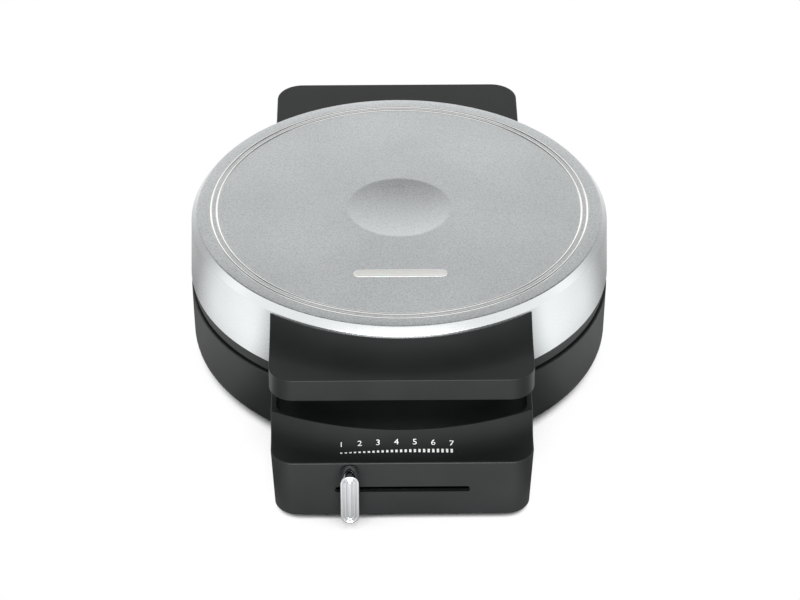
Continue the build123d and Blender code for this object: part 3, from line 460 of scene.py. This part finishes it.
def moulded_plastic(colours):
    """Glass-filled polyester from a spark-eroded mould: near black, with a fine matt pimple that breaks up
    reflections. The pimples are about 0.1 mm and are drawn at 0.4 mm."""
    return finish_of(
        "spark_eroded_black_polyester", colours.plastic, "#161818", (0.36, 0.46), 0.4 * MM, 0.006 * MM,
        IOR=1.5, Specular_IOR_Level=0.2,
    )


def chrome_plate():
    """Bright nickel and chrome on a moulded knob: a clear mirror with slight handling haze."""
    return finish_of(
        "chrome_plated_knob", "#C4C6C8", "#BEC0C2", (0.05, 0.12), 2.0 * MM, 0.0005 * MM, Metallic=1.0,
    )


def milky_lens():
    """Opal polycarbonate: white and glossy, with light that spreads inside it."""
    return finish_of(
        "opal_polycarbonate", "#CECECB", "#C8C8C5", (0.2, 0.26), 1.5 * MM, 0.001 * MM,
        Subsurface_Weight=0.25, Subsurface_Scale=0.8 * MM,
    )


def printed_ink(colours):
    """Pad-printed enamel ink: thin, slightly uneven and almost matt."""
    return finish_of(
        "printed_scale_ink", colours.ink, "#C4C5C2", (0.45, 0.6), 0.3 * MM, 0.002 * MM, cloud=2 * MM,
    )


def non_stick():
    """Fluoropolymer coat sprayed on cast aluminium: dark grey with a satin shine and a faint orange peel."""
    return finish_of(
        "non_stick_fluoropolymer", "#2B2B2C", "#242425", (0.3, 0.42), 0.9 * MM, 0.01 * MM, Coat_Weight=0.15,
    )


def rolled_aluminium():
    """Bright rolled aluminium sheet with soft, slightly wavy reflections."""
    return finish_of(
        "bright_rolled_aluminium", "#DADBDC", "#CFD0D1", (0.18, 0.3), 1.5 * MM, 0.004 * MM, Metallic=1.0,
    )


def heated_steel():
    """Steel tube of a heater: dull, with brown and blue tints from heat."""
    return finish_of(
        "heat_tinted_steel_tube", "#8D857A", "#6E6A6B", (0.35, 0.5), 0.6 * MM, 0.004 * MM, cloud=12 * MM,
        Metallic=1.0,
    )


def zinc_plate():
    """Zinc-plated steel screws and brackets: pale blue-grey and a little cloudy."""
    return finish_of(
        "zinc_plated_steel", "#C6C9CC", "#AEB2B6", (0.28, 0.42), 0.5 * MM, 0.003 * MM, cloud=4 * MM,
        Metallic=1.0,
    )


def ground_steel():
    """Ground steel pins: even grey with a fine dull line."""
    return finish_of(
        "ground_steel_pin", "#B9B9BA", "#A9A9AB", (0.22, 0.34), 0.3 * MM, 0.002 * MM, Metallic=1.0,
    )


def turned_brass():
    """Turned brass bushes and spindle: warm yellow, going dull in patches."""
    return finish_of(
        "turned_brass", "#C9A257", "#B18A45", (0.25, 0.4), 0.4 * MM, 0.003 * MM, cloud=5 * MM, Metallic=1.0,
    )


def natural_acetal():
    """Moulded acetal rack, pinion and guide: milky white with a waxy sheen."""
    return finish_of("natural_acetal", "#E6E3D9", "#DEDBD0", (0.34, 0.44), 0.8 * MM, 0.004 * MM, IOR=1.48)


def beige_steatite():
    """Pressed steatite and heat-proof moulding: matt beige with small darker clouds."""
    return finish_of("beige_steatite", "#CDB998", "#BBA582", (0.55, 0.7), 0.5 * MM, 0.01 * MM, cloud=6 * MM)


def black_rubber():
    """Moulded rubber feet and inlet bush: dead black, with a dusty bloom."""
    return finish_of(
        "moulded_black_rubber", "#1C1C1C", "#131313", (0.7, 0.85), 0.5 * MM, 0.02 * MM, cloud=6 * MM,
        Specular_IOR_Level=0.3,
    )


def neon_glass():
    """Small neon lamps: clear glass with an orange glow colour."""
    return finish_of(
        "neon_lamp_glass", "#F0A060", "#E88B4A", (0.03, 0.06), 3 * MM, 0.0005 * MM, Transmission_Weight=0.85,
    )


# Steel cover and lens


def steel_section(dish_depth):
    """(radius, height) points of the cover: the dish is part of a ball, each bead is a low parabola, and then
    the face runs to a rounded edge, a bevel and the wall and comes back inside by the sheet's thickness.
    Points close to the dish and the beads keep the face between them flat to the light."""
    reach = np.linspace(0, DISH_R, DISH_STEPS)
    ball = (DISH_R**2 + dish_depth**2) / (2 * dish_depth)
    parts = [np.stack([reach, LID_TOP - dish_depth + ball - np.sqrt(ball**2 - reach**2)], axis=1)]
    flat_end = BEAD_RADII[0] - BEAD_WIDTH / 2 - FLAT_START
    parts.append(np.array([(DISH_R + FLAT_START, LID_TOP), (flat_end, LID_TOP)]))
    for bead in BEAD_RADII:
        share = np.linspace(-1, 1, BEAD_STEPS)
        rise = BEAD_HEIGHT * (1 - share**2)
        parts.append(np.stack([bead + share * BEAD_WIDTH / 2, LID_TOP + rise], axis=1))
    start = BEAD_RADII[-1] + BEAD_WIDTH / 2
    outside = [
        (start, LID_TOP, 0),
        (start + FLAT_START, LID_TOP, 0),
        (FACE_R, LID_TOP, EDGE_ROUND),
        (BEVEL_R, BEVEL_FOOT, EDGE_ROUND),
        (STEEL_R, STEEL_EDGE, CUT_EDGE_ROUND),
        (STEEL_R - SHEET, STEEL_EDGE, CUT_EDGE_ROUND),
        (BEVEL_R - SHEET, BEVEL_FOOT, EDGE_ROUND),
        (FACE_R - SHEET / 2, LID_TOP - SHEET, EDGE_ROUND / 2),
        (DISH_R, LID_TOP - SHEET, 0),
        (0, LID_TOP - SHEET - dish_depth, 0),
    ]
    parts.append(run(outside)[1:])
    return np.concatenate(parts)


def finish_faces(mesh):
    """Second material on the faces of the two raised beads, third on the bevel and the wall."""
    middles = np.zeros(len(mesh.polygons) * 3)
    mesh.polygons.foreach_get("center", middles)
    x, y, z = middles.reshape(-1, 3).T
    radius = np.hypot(x, y - AXIS_Y)
    slot = np.zeros(len(mesh.polygons), np.int32)
    for bead in BEAD_RADII:
        slot[(abs(radius - bead) < BEAD_WIDTH / 2) & (z > LID_TOP + 0.01 * MM)] = 1
    slot[radius > FACE_R] = 2
    mesh.polygons.foreach_set("material_index", slot)


def slot_block(length, width, low, high):
    """A block with round ends at the lens's place."""
    ring = obround(length, width, 0)
    levels = np.array([low, high])
    rings = np.empty((2, len(ring), 3))
    rings[..., 0] = ring[:, 0]
    rings[..., 1] = ring[:, 1] + LENS_Y
    rings[..., 2] = levels[:, None]
    return rings


def lens_rings(crown):
    """The lens as slot outlines that draw in: a wall, a small round, a sunk line and a low crown whose rise
    is crown times (1 - (distance from the middle line / half width) squared)."""
    half = LENS_WIDTH / 2 - LENS_GAP
    top = LID_TOP + LENS_PROUD - crown
    foot = edge_of("light_lens", 0, 2)
    flange = LID_TOP - SHEET
    steps = [
        (-LENS_FLANGE, foot),
        (-LENS_FLANGE, flange),
        (0, flange),
        (0, top - LENS_ROUND),
        (LENS_ROUND_MIDDLE, top - LENS_ROUND_MIDDLE),
        (LENS_ROUND, top),
    ]
    for inset in np.linspace(LENS_TOP_INSET, half * LENS_LAST_RING, LENS_TOP_STEPS):
        line = LENS_LINE_DEPTH * math.exp(-(((inset - LENS_LINE_INSET) / LENS_LINE_HALF) ** 2))
        steps.append((inset, top + crown * (1 - ((half - inset) / half) ** 2) - line))
    rings = np.empty((len(steps), 2 * SLOT_STEPS, 3))
    for number, (inset, level) in enumerate(steps):
        ring = obround(LENS_LENGTH - 2 * LENS_GAP, 2 * half, inset)
        rings[number, :, 0] = ring[:, 0]
        rings[number, :, 1] = ring[:, 1] + LENS_Y
        rings[number, :, 2] = level
    return rings


class OBJECT_OT_waffle_steel_cover(bpy.types.Operator):
    """Make the pressed steel cover of the lid, with its dish, beads and lens slot"""

    bl_idname = "object.waffle_steel_cover"
    bl_label = "Steel Cover"

    def execute(self, context):
        scene = context.scene
        section = steel_section(scene.waffle_sizes.dish_depth)
        cover = make_piece("steel_cover", [(turned(section), False)], sharp=30.0)
        slot = slot_block(LENS_LENGTH, LENS_WIDTH, BEVEL_FOOT, LID_TOP + SHEET)
        tool = make_piece("slot_tool", [(slot, False)])
        cut_out(cover, tool, sharp=30.0)
        dress(
            cover, "lid", "satin_steel",
            blasted_steel(scene.waffle_colours), polished_steel(), satin_steel(scene.waffle_colours),
            replaces=["lid_cover"],
        )
        finish_faces(cover.data)
        return {"FINISHED"}


class OBJECT_OT_waffle_lens(bpy.types.Operator):
    """Make the opal lens over the pilot lamps"""

    bl_idname = "object.waffle_lens"
    bl_label = "Lamp Lens"

    def execute(self, context):
        rings = lens_rings(context.scene.waffle_sizes.lens_crown)
        lens = make_piece("lamp_lens", [(rings, False)], sharp=50.0)
        dress(lens, "lid", "milky_lens", milky_lens(), replaces=["light_lens"])
        paint(beige_steatite(), "lamp_holder")
        paint(neon_glass(), "pilot_lamps")
        return {"FINISHED"}


class OBJECT_OT_waffle_mouldings(bpy.types.Operator):
    """Finish the black mouldings of the lid and the base"""

    bl_idname = "object.waffle_mouldings"
    bl_label = "Black Mouldings"

    def execute(self, context):
        plastic = moulded_plastic(context.scene.waffle_colours)
        paint(plastic, "lid_rim", "lid_handle", "lid_hinge_block", "base_housing", "bottom_cover")
        paint(black_rubber(), "cord_inlet")
        return {"FINISHED"}


# Scale


def crest_height(x, y):
    """Height of the deck: level beyond its radius, then an arc about the lid's axis up to the crest, whose
    curve has the radius (width squared + rise squared) / (2 rise)."""
    width = DECK_R - CREST_R
    curve = (width**2 + CREST_RISE**2) / (2 * CREST_RISE)
    back = np.clip(DECK_R - np.hypot(x, y - AXIS_Y), 0, width)
    return DECK_LEVEL + curve - np.sqrt(curve**2 - back**2)


def printed_number(text, x):
    """Points and faces of one number, laid on the crest: plan places stay and heights follow the surface."""
    curve = bpy.data.curves.new("number", "FONT")
    curve.body = text
    curve.size = 1.0
    curve.align_x = "CENTER"
    curve.extrude = 0.5
    holder = bpy.data.objects.new("number", curve)
    bpy.context.scene.collection.objects.link(holder)
    mesh = bpy.data.meshes.new_from_object(holder.evaluated_get(bpy.context.evaluated_depsgraph_get()))
    points = np.zeros(len(mesh.vertices) * 3)
    mesh.vertices.foreach_get("co", points)
    points = points.reshape(-1, 3)
    faces = [list(face.vertices) for face in mesh.polygons]
    bpy.data.objects.remove(holder)
    high = points[:, 1].max()
    across = x + points[:, 0] * NUMBER_HEIGHT / high * NUMBER_BROADER
    along = NUMBER_FOOT_Y + points[:, 1] * NUMBER_HEIGHT / high
    level = crest_height(across, along) + INK * (0.5 + points[:, 2])
    return np.stack([across, along, level], axis=1), faces


def printed_bars():
    """Bars along the foot of the crest that grow evenly from the first to the last, as thin blocks."""
    share = np.linspace(0, 1, SCALE_BARS)
    x = SCALE_FIRST_X + SCALE_STEP * np.arange(SCALE_BARS)
    length = BAR_LEAST + (BAR_MOST - BAR_LEAST) * share
    side = np.array([-1, 1, 1, -1, -1, 1, 1, -1]) * BAR_WIDTH / 2
    end = np.array([0, 0, 1, 1, 0, 0, 1, 1])
    lift = np.array([0, 0, 0, 0, 1, 1, 1, 1]) * 2 * INK - INK
    across = x[:, None] + side
    along = BAR_FOOT_Y + length[:, None] * end
    points = np.stack([across, along, crest_height(across, along) + lift], axis=-1).reshape(-1, 3)
    corners = np.array([[3, 2, 1, 0], [4, 5, 6, 7], [0, 1, 5, 4], [1, 2, 6, 5], [2, 3, 7, 6], [3, 0, 4, 7]])
    faces = (corners[None] + 8 * np.arange(SCALE_BARS)[:, None, None]).reshape(-1, 4)
    return points, faces.tolist()


class OBJECT_OT_waffle_scale(bpy.types.Operator):
    """Print the numbers and bars of the temperature scale on the crest"""

    bl_idname = "object.waffle_scale"
    bl_label = "Temperature Scale"

    def execute(self, context):
        points, faces = printed_bars()
        gap = (SCALE_BARS - 1) // (SCALE_NUMBERS - 1)
        for number in range(SCALE_NUMBERS):
            more, shapes = printed_number(str(number + 1), SCALE_FIRST_X + SCALE_STEP * gap * number)
            faces += [[len(points) + corner for corner in face] for face in shapes]
            points = np.concatenate([points, more])
        mesh = bpy.data.meshes.new("temperature_scale")
        mesh.from_pydata(points.tolist(), [], faces)
        scale = bpy.data.objects.new("temperature_scale", mesh)
        context.scene.collection.objects.link(scale)
        dress(scale, "base", "black_plastic", printed_ink(context.scene.waffle_colours))
        return {"FINISHED"}


# Knob


def knob_rings(groove_depth):
    """The knob as slot outlines that draw in from its wall: a rounded edge, then a front whose depth is two
    smooth dips, groove depth times exp(-(distance / half width) squared)."""
    low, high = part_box("slider_knob")
    width, height = high.x - low.x, high.z - low.z
    middle = ((low.x + high.x) / 2, (low.z + high.z) / 2)
    steps = [(KNOB_BACK_EDGE, high.y), (0, high.y - KNOB_BACK_EDGE), (0, low.y + KNOB_EDGE)]
    for turn in np.linspace(0, math.pi / 2, 7)[1:]:
        steps.append((KNOB_EDGE * (1 - math.cos(turn)), low.y + KNOB_EDGE * (1 - math.sin(turn))))
    for inset in np.linspace(KNOB_EDGE, width / 2 * KNOB_LAST_RING, KNOB_FACE_STEPS)[1:]:
        dips = sum(math.exp(-(((inset - groove) / (KNOB_GROOVE_WIDTH / 2)) ** 2)) for groove in KNOB_GROOVES)
        steps.append((inset, low.y + groove_depth * dips))
    rings = np.empty((len(steps), 2 * KNOB_STEPS, 3))
    for number, (inset, place) in enumerate(steps):
        ring = obround(height, width, inset, KNOB_STEPS)
        rings[number, :, 0] = middle[0] + ring[:, 1]
        rings[number, :, 1] = place
        rings[number, :, 2] = middle[1] + ring[:, 0]
    return rings


class OBJECT_OT_waffle_knob(bpy.types.Operator):
    """Make the chrome slide knob with its two ring grooves, and finish the slide behind it"""

    bl_idname = "object.waffle_knob"
    bl_label = "Slide Knob"

    def execute(self, context):
        rings = knob_rings(context.scene.waffle_sizes.knob_groove_depth)
        knob = make_piece("chrome_slide_knob", [(rings, False)], sharp=50.0)
        dress(knob, "slider", "chrome_knob", chrome_plate(), replaces=["slider_knob"])
        paint(natural_acetal(), "slider_carriage", "slider_guide", "control_pinion")
        return {"FINISHED"}


# Baking plates


def heart_distance(x, y):
    """Distance outside a heart, negative inside, for points in the heart's own frame with its point near the
    origin and its lobes along +y: the nearer of the lobe circle and the wedge below the lobes' middles."""
    half_turn = math.pi / HEARTS
    reach = PLATE_R - HEART_MARGIN
    lean = 1 + math.cos(half_turn)
    rise = math.sin(half_turn) ** 2
    shift = HEART_GAP / 2 - LOBE_OVERLAP * math.cos(half_turn)
    middle = lean * shift + rise * (reach - LOBE_OVERLAP)
    rest = shift**2 - rise * (reach**2 - LOBE_OVERLAP**2)
    lobe = (math.sqrt(middle**2 - lean**2 * rest) - middle) / lean**2
    side = lobe - LOBE_OVERLAP
    out = math.sqrt((reach - lobe) ** 2 - side**2)
    far = math.hypot(side, out - HEART_POINT)
    angle = math.atan2(side, out - HEART_POINT) + math.asin(lobe / far)
    flank = math.sqrt(far**2 - lobe**2)
    x = abs(x)
    y_up = y - HEART_POINT
    circle = np.hypot(x - side, y - out) - lobe
    line = x * math.cos(angle) - y_up * math.sin(angle)
    along = x * math.sin(angle) + y_up * math.cos(angle)
    return np.minimum(circle, np.maximum(np.maximum(line, along - flank), y - out))


def smooth(share):
    """The soft step 3t^2 - 2t^3, level before 0 and after 1."""
    share = np.clip(share, 0, 1)
    return share * share * (3 - 2 * share)


def ridge_share(place):
    """1 on the top of a grid bar and 0 between bars, with soft flanks, for a place across the bars."""
    off = abs(place - RIDGE_PITCH * np.round(place / RIDGE_PITCH))
    return 1 - smooth((off - RIDGE_WIDTH / 2 + RIDGE_FLANK / 2) / RIDGE_FLANK)


def baking_face(radius, angle, ridge_height):
    """Drop of the baking face below its rim at polar places: hearts with sloped walls and a crossed grid."""
    sector = FULL_TURN / HEARTS
    local = (angle + math.pi / 2 + sector / 2) % sector - sector / 2
    x, y = radius * np.sin(local), radius * np.cos(local)
    inside = smooth(-heart_distance(x, y) / WALL_RUN + 0.1)
    grid = np.maximum(ridge_share(x), ridge_share(y))
    drop = inside * (HEART_DEPTH - ridge_height * grid)
    pool = smooth((POOL_R - radius) / WALL_RUN + 0.5)
    return np.maximum(drop, pool * (HEART_DEPTH - ridge_height))


def plate_rings(ridge_height):
    """The lower plate as rings from the middle of its baking face, over its rim and back along its underside
    with the raised seat and groove of the heater."""
    angle = np.linspace(0, FULL_TURN, PLATE_STEPS_AROUND, endpoint=False)
    reach = np.linspace(0, PLATE_R - PLATE_EDGE, PLATE_STEPS_OUT)[:, None]
    level = PLATE_TOP - baking_face(reach, angle[None], ridge_height)
    face = np.stack([reach * np.cos(angle), AXIS_Y + reach * np.sin(angle), level], axis=-1)
    core = PLATE_TOP - HEART_DEPTH - PLATE_FLOOR
    core_r = PLATE_R - FLANGE_WIDTH
    low = PLATE_TOP - FLANGE_THICK
    groove = np.linspace(0, math.pi, 9)
    seat = SEAT_GROOVE * np.stack([np.cos(groove), np.sin(groove)], axis=1) + (SEAT_MIDDLE, PLATE_LOW)
    outer = [
        (PLATE_R - PLATE_EDGE, PLATE_TOP, 0),
        (PLATE_R, PLATE_TOP, 0.35 * MM),
        (PLATE_R, low, 0.3 * MM),
        (core_r, low, 0),
        (core_r, core, 0),
        (SEAT_MIDDLE + SEAT_WIDTH / 2, core, 0),
        (SEAT_MIDDLE + SEAT_WIDTH / 2, PLATE_LOW, 0),
        (seat[0, 0], PLATE_LOW, 0),
    ]
    inner = [(SEAT_MIDDLE - SEAT_WIDTH / 2, PLATE_LOW), (SEAT_MIDDLE - SEAT_WIDTH / 2, core), (0, core)]
    under = turned(np.concatenate([run(outer, 4)[1:-1], seat, inner]), PLATE_STEPS_AROUND)
    return np.concatenate([face, under])


class OBJECT_OT_waffle_plates(bpy.types.Operator):
    """Make the two cast baking plates with their hearts and grids, and finish what heats them"""

    bl_idname = "object.waffle_plates"
    bl_label = "Baking Plates"

    def execute(self, context):
        coat = non_stick()
        lower = plate_rings(context.scene.waffle_sizes.ridge_height)
        upper = lower.copy()
        upper[..., 2] = 2 * PLATE_PLANE - upper[..., 2]
        for name, rings, body, node in (
            ("lower_baking_plate", lower, "base", "lower_plate"),
            ("upper_baking_plate", upper, "lid", "upper_plate"),
        ):
            plate = make_piece(name, [(rings, False)], sharp=40.0)
            dress(plate, body, "non_stick", coat, replaces=[node])
        paint(heated_steel(), "lower_element", "upper_element")
        paint(rolled_aluminium(), "lower_reflector", "upper_reflector")
        return {"FINISHED"}


# Feet, screws and hinge


class OBJECT_OT_waffle_feet(bpy.types.Operator):
    """Make the four rubber feet, with rounded edges and a ring under each"""

    bl_idname = "object.waffle_feet"
    bl_label = "Rubber Feet"

    def execute(self, context):
        low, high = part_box("feet")
        top = edge_of("bottom_cover", 0, 2)
        corners = [
            (0, FOOT_HOLLOW, 0),
            (FOOT_RING_R - 0.4 * MM, FOOT_HOLLOW, 0.2 * MM),
            (FOOT_RING_R, 0, 0.2 * MM),
            (FOOT_R, 0, 0.7 * MM),
            (FOOT_R - FOOT_DRAFT, top, 0.2 * MM),
            (0, top, 0),
        ]
        profile = run(corners, 5)
        across = (low.x + FOOT_R, high.x - FOOT_R)
        along = (low.y + FOOT_R, high.y - FOOT_R)
        shells = [(turned(profile, FOOT_STEPS, x, y), False) for x in across for y in along]
        feet = make_piece("rubber_feet", shells)
        dress(feet, "base", "rubber_black", black_rubber(), replaces=["feet"])
        return {"FINISHED"}


class OBJECT_OT_waffle_hardware(bpy.types.Operator):
    """Finish the screws, hinge pins, bushes and the pieces inside the base"""

    bl_idname = "object.waffle_hardware"
    bl_label = "Screws and Hinge"

    def execute(self, context):
        paint(
            zinc_plate(), "handle_screws", "hinge_block_screws", "upper_plate_screws", "lower_plate_screws",
            "cover_screws", "thermostat_bracket", "thermal_fuse",
        )
        paint(ground_steel(), "hinge_pins")
        paint(turned_brass(), "hinge_bushes", "thermostat_spindle")
        paint(beige_steatite(), "thermostat_body", "terminal_block")
        return {"FINISHED"}


# Stage


def soft_lamp(name, place, aim, size, power):
    """A rectangular lamp at a place that shines at an aim point."""
    lamp = bpy.data.lights.new(name, "AREA")
    lamp.shape = "RECTANGLE"
    lamp.size, lamp.size_y = size
    lamp.energy = power
    holder = bpy.data.objects.new(name, lamp)
    away = np.array(place) - np.array(aim)
    flat = math.hypot(away[0], away[1])
    holder.location = place
    holder.rotation_euler = (math.atan2(flat, away[2]), 0, math.atan2(away[0], -away[1]))
    bpy.context.scene.collection.objects.link(holder)


def rear_share(tree, vector):
    """Two outputs for a direction or a place seen from the middle of the studio: how far it points to the
    rear (1 there, 0 aside, -1 in front), which is y over the root of (x squared + y squared), and its
    height."""
    part = add(tree, "ShaderNodeSeparateXYZ", links={0: vector}).outputs
    squares = []
    for axis in "XY":
        squares.append(add(tree, "ShaderNodeMath", {"operation": "MULTIPLY"}, {0: part[axis], 1: part[axis]}))
    total = add(tree, "ShaderNodeMath", {"operation": "ADD"}, {0: squares[0], 1: squares[1]})
    root = add(tree, "ShaderNodeMath", {"operation": "SQRT"}, {0: total})
    across = add(tree, "ShaderNodeMath", {"operation": "MAXIMUM", 1: 0.0001}, {0: root})
    rear = add(tree, "ShaderNodeMath", {"operation": "DIVIDE"}, {0: part["Y"], 1: across})
    return rear.outputs[0], part["Z"]


def lights_around(tree, rear, stops):
    """Share of the light by how far a direction points to the rear, from stops (rear share, light)."""
    share = add(tree, "ShaderNodeMapRange", {"From Min": -1.0, "From Max": 1.0}, {"Value": rear})
    shade = add(tree, "ShaderNodeValToRGB", links={"Fac": share})
    ramp = shade.color_ramp
    for place, light in stops[1:-1]:
        ramp.elements.new((place + 1) / 2)
    for stop, (place, light) in zip(ramp.elements, stops):
        stop.position = (place + 1) / 2
        stop.color = (light, light, light, 1)
    return shade.outputs["Color"]


def pale_floor():
    """A wide white floor that glows white to the camera, with a painted shadow from ambient occlusion that
    keeps close to the object. Surfaces that mirror it show painted light and shade: brighter than white,
    dimmer in some directions and near the object."""
    mesh = bpy.data.meshes.new("floor")
    half = FLOOR_HALF
    corners = [(-half, -half, 0), (half, -half, 0), (half, half, 0), (-half, half, 0)]
    mesh.from_pydata(corners, [], [(0, 1, 2, 3)])
    floor = bpy.data.objects.new("floor", mesh)
    material = bpy.data.materials.new("white_paper_painted_shade")
    material.use_nodes = True
    tree = material.node_tree
    matt = tree.nodes["Principled BSDF"]
    matt.inputs["Base Color"].default_value = linear("#F4F4F4")
    matt.inputs["Roughness"].default_value = 1.0
    matt.inputs["Specular IOR Level"].default_value = 0.0
    ray = add(tree, "ShaderNodeLightPath").outputs
    rays = {0: ray["Is Camera Ray"], 1: ray["Is Transmission Ray"]}
    shown = add(tree, "ShaderNodeMath", {"operation": "MAXIMUM"}, rays)
    seen = add(tree, "ShaderNodeMath", {"operation": "MAXIMUM"}, {0: shown, 1: ray["Is Glossy Ray"]})
    # Ambient occlusion near the object, mapped to the painted shadow that the camera sees on the floor
    near = add(
        tree, "ShaderNodeAmbientOcclusion", {"samples": FLOOR_SHADE_SAMPLES, "Distance": FLOOR_SHADE_REACH}
    ).outputs["AO"]
    shade = add(tree, "ShaderNodeMapRange", soft_step(*FLOOR_SHADE, 0.0, 1.0), {"Value": near})
    # Painted light and shade that only mirroring surfaces see: brighter than white, darker in some directions
    # around the object and darker near it
    place = add(tree, "ShaderNodeNewGeometry").outputs["Position"]
    around = lights_around(tree, rear_share(tree, place)[0], FLOOR_PAINTED_AROUND)
    open_share = add(tree, "ShaderNodeMath", {"operation": "POWER", 1: FLOOR_PAINTED_SHADE_POWER}, {0: near})
    painted_mirror_share = add(tree, "ShaderNodeMath", {"operation": "MULTIPLY"}, {0: around, 1: open_share})
    painted_mirror_light = add(tree, "ShaderNodeMath", {"operation": "MULTIPLY", 1: FLOOR_PAINTED_LIGHT}, {0: painted_mirror_share})
    lights = {"Factor": shown, "A": painted_mirror_light, "B": shade}
    strength = add(tree, "ShaderNodeMix", {"data_type": "FLOAT"}, lights)
    white = add(tree, "ShaderNodeEmission", {"Color": (1, 1, 1, 1)}, {"Strength": strength})
    mix = add(tree, "ShaderNodeMixShader", links={0: seen, 1: matt, 2: white})
    tree.links.new(mix.outputs[0], tree.nodes["Material Output"].inputs["Surface"])
    mesh.materials.append(material)
    bpy.context.scene.collection.objects.link(floor)


def studio_sky():
    """A white studio with plain light in front, a wall behind that is dimmer above the height that the lid
    mirrors, a dark ceiling over its rear half, and less light from its rear corners."""
    world = bpy.data.worlds.new("studio")
    world.use_nodes = True
    tree = world.node_tree
    back = tree.nodes["Background"]
    back.inputs["Color"].default_value = (1, 1, 1, 1)
    place = add(tree, "ShaderNodeTexCoord").outputs["Generated"]
    rear, height = rear_share(tree, place)
    upwards = soft_step(*WALL_STEP, WALL_LIGHT, WALL_UPPER_LIGHT)
    wall = add(tree, "ShaderNodeMapRange", upwards, {"Value": height})
    ceiling = add(tree, "ShaderNodeMapRange", soft_step(*CEILING_EDGE, 1.0, CEILING_LIGHT), {"Value": height})
    rear_light = add(tree, "ShaderNodeMath", {"operation": "MULTIPLY"}, {0: wall, 1: ceiling})
    behind = add(tree, "ShaderNodeMapRange", soft_step(*BEHIND, 0.0, 1.0), {"Value": rear})
    sides = {"data_type": "FLOAT", "A": FRONT_LIGHT}
    light = add(tree, "ShaderNodeMix", sides, {"Factor": behind, "B": rear_light})
    around = lights_around(tree, rear, SKY_AROUND)
    strength = add(tree, "ShaderNodeMath", {"operation": "MULTIPLY"}, {0: light, 1: around})
    tree.links.new(strength.outputs[0], back.inputs["Strength"])
    bpy.context.scene.world = world


def photograph_camera():
    """The camera at the photograph's angle: it looks at the middle of the lid's top, then turns so that this
    point falls where the photograph shows it."""
    camera = bpy.data.cameras.new("camera")
    camera.sensor_width = SENSOR
    camera.lens = FOCAL_PIXELS * SENSOR / PICTURE[0]
    camera.clip_end = VIEW_REACH
    down = SIGHT_ELEVATION + math.degrees(math.atan((PICTURE[1] / 2 - LID_MIDDLE_AT[1]) / FOCAL_PIXELS))
    aside = SIGHT_AZIMUTH - math.degrees(math.atan((PICTURE[0] / 2 - LID_MIDDLE_AT[0]) / FOCAL_PIXELS))
    elevation, azimuth = math.radians(SIGHT_ELEVATION), math.radians(SIGHT_AZIMUTH)
    holder = bpy.data.objects.new("camera", camera)
    holder.location = (
        SIGHT_DISTANCE * math.cos(elevation) * math.sin(azimuth),
        AXIS_Y - SIGHT_DISTANCE * math.cos(elevation) * math.cos(azimuth),
        LID_TOP + SIGHT_DISTANCE * math.sin(elevation),
    )
    holder.rotation_euler = (math.radians(90 - down), 0, math.radians(aside))
    bpy.context.scene.collection.objects.link(holder)
    bpy.context.scene.camera = holder


class SCENE_OT_waffle_stage(bpy.types.Operator):
    """Set up the pale floor, the soft studio light and the camera"""

    bl_idname = "scene.waffle_stage"
    bl_label = "Stage"

    def execute(self, context):
        context.scene.view_settings.view_transform = "Standard"
        pale_floor()
        studio_sky()
        soft_lamp("front_lamp", LAMP_PLACE, LAMP_AIM, LAMP_SIZE, LAMP_POWER)
        photograph_camera()
        return {"FINISHED"}


class VIEW3D_PT_waffle_maker(bpy.types.Panel):
    """Sizes, colours and pieces of the waffle maker"""

    bl_label = "Waffle Maker"
    bl_space_type = "VIEW_3D"
    bl_region_type = "UI"
    bl_category = "Waffle Maker"

    def draw(self, context):
        for group in (context.scene.waffle_sizes, context.scene.waffle_colours):
            column = self.layout.column()
            for name in group.bl_rna.properties.keys():
                if name not in ("rna_type", "name"):
                    column.prop(group, name)
        for operator in OPERATORS:
            self.layout.operator(operator.bl_idname)


OPERATORS = (
    OBJECT_OT_waffle_steel_cover,
    OBJECT_OT_waffle_lens,
    OBJECT_OT_waffle_mouldings,
    OBJECT_OT_waffle_scale,
    OBJECT_OT_waffle_knob,
    OBJECT_OT_waffle_plates,
    OBJECT_OT_waffle_feet,
    OBJECT_OT_waffle_hardware,
    SCENE_OT_waffle_stage,
)
CLASSES = (WaffleMakerSizes, WaffleMakerColours, *OPERATORS, VIEW3D_PT_waffle_maker)


def register():
    for one in CLASSES:
        bpy.utils.register_class(one)
    bpy.types.Scene.waffle_sizes = bpy.props.PointerProperty(type=WaffleMakerSizes)
    bpy.types.Scene.waffle_colours = bpy.props.PointerProperty(type=WaffleMakerColours)


def unregister():
    del bpy.types.Scene.waffle_colours
    del bpy.types.Scene.waffle_sizes
    for one in reversed(CLASSES):
        bpy.utils.unregister_class(one)


def main():
    register()
    for operator in OPERATORS:
        group, name = operator.bl_idname.split(".")
        getattr(getattr(bpy.ops, group), name)()


if __name__ == "__main__":
    main()
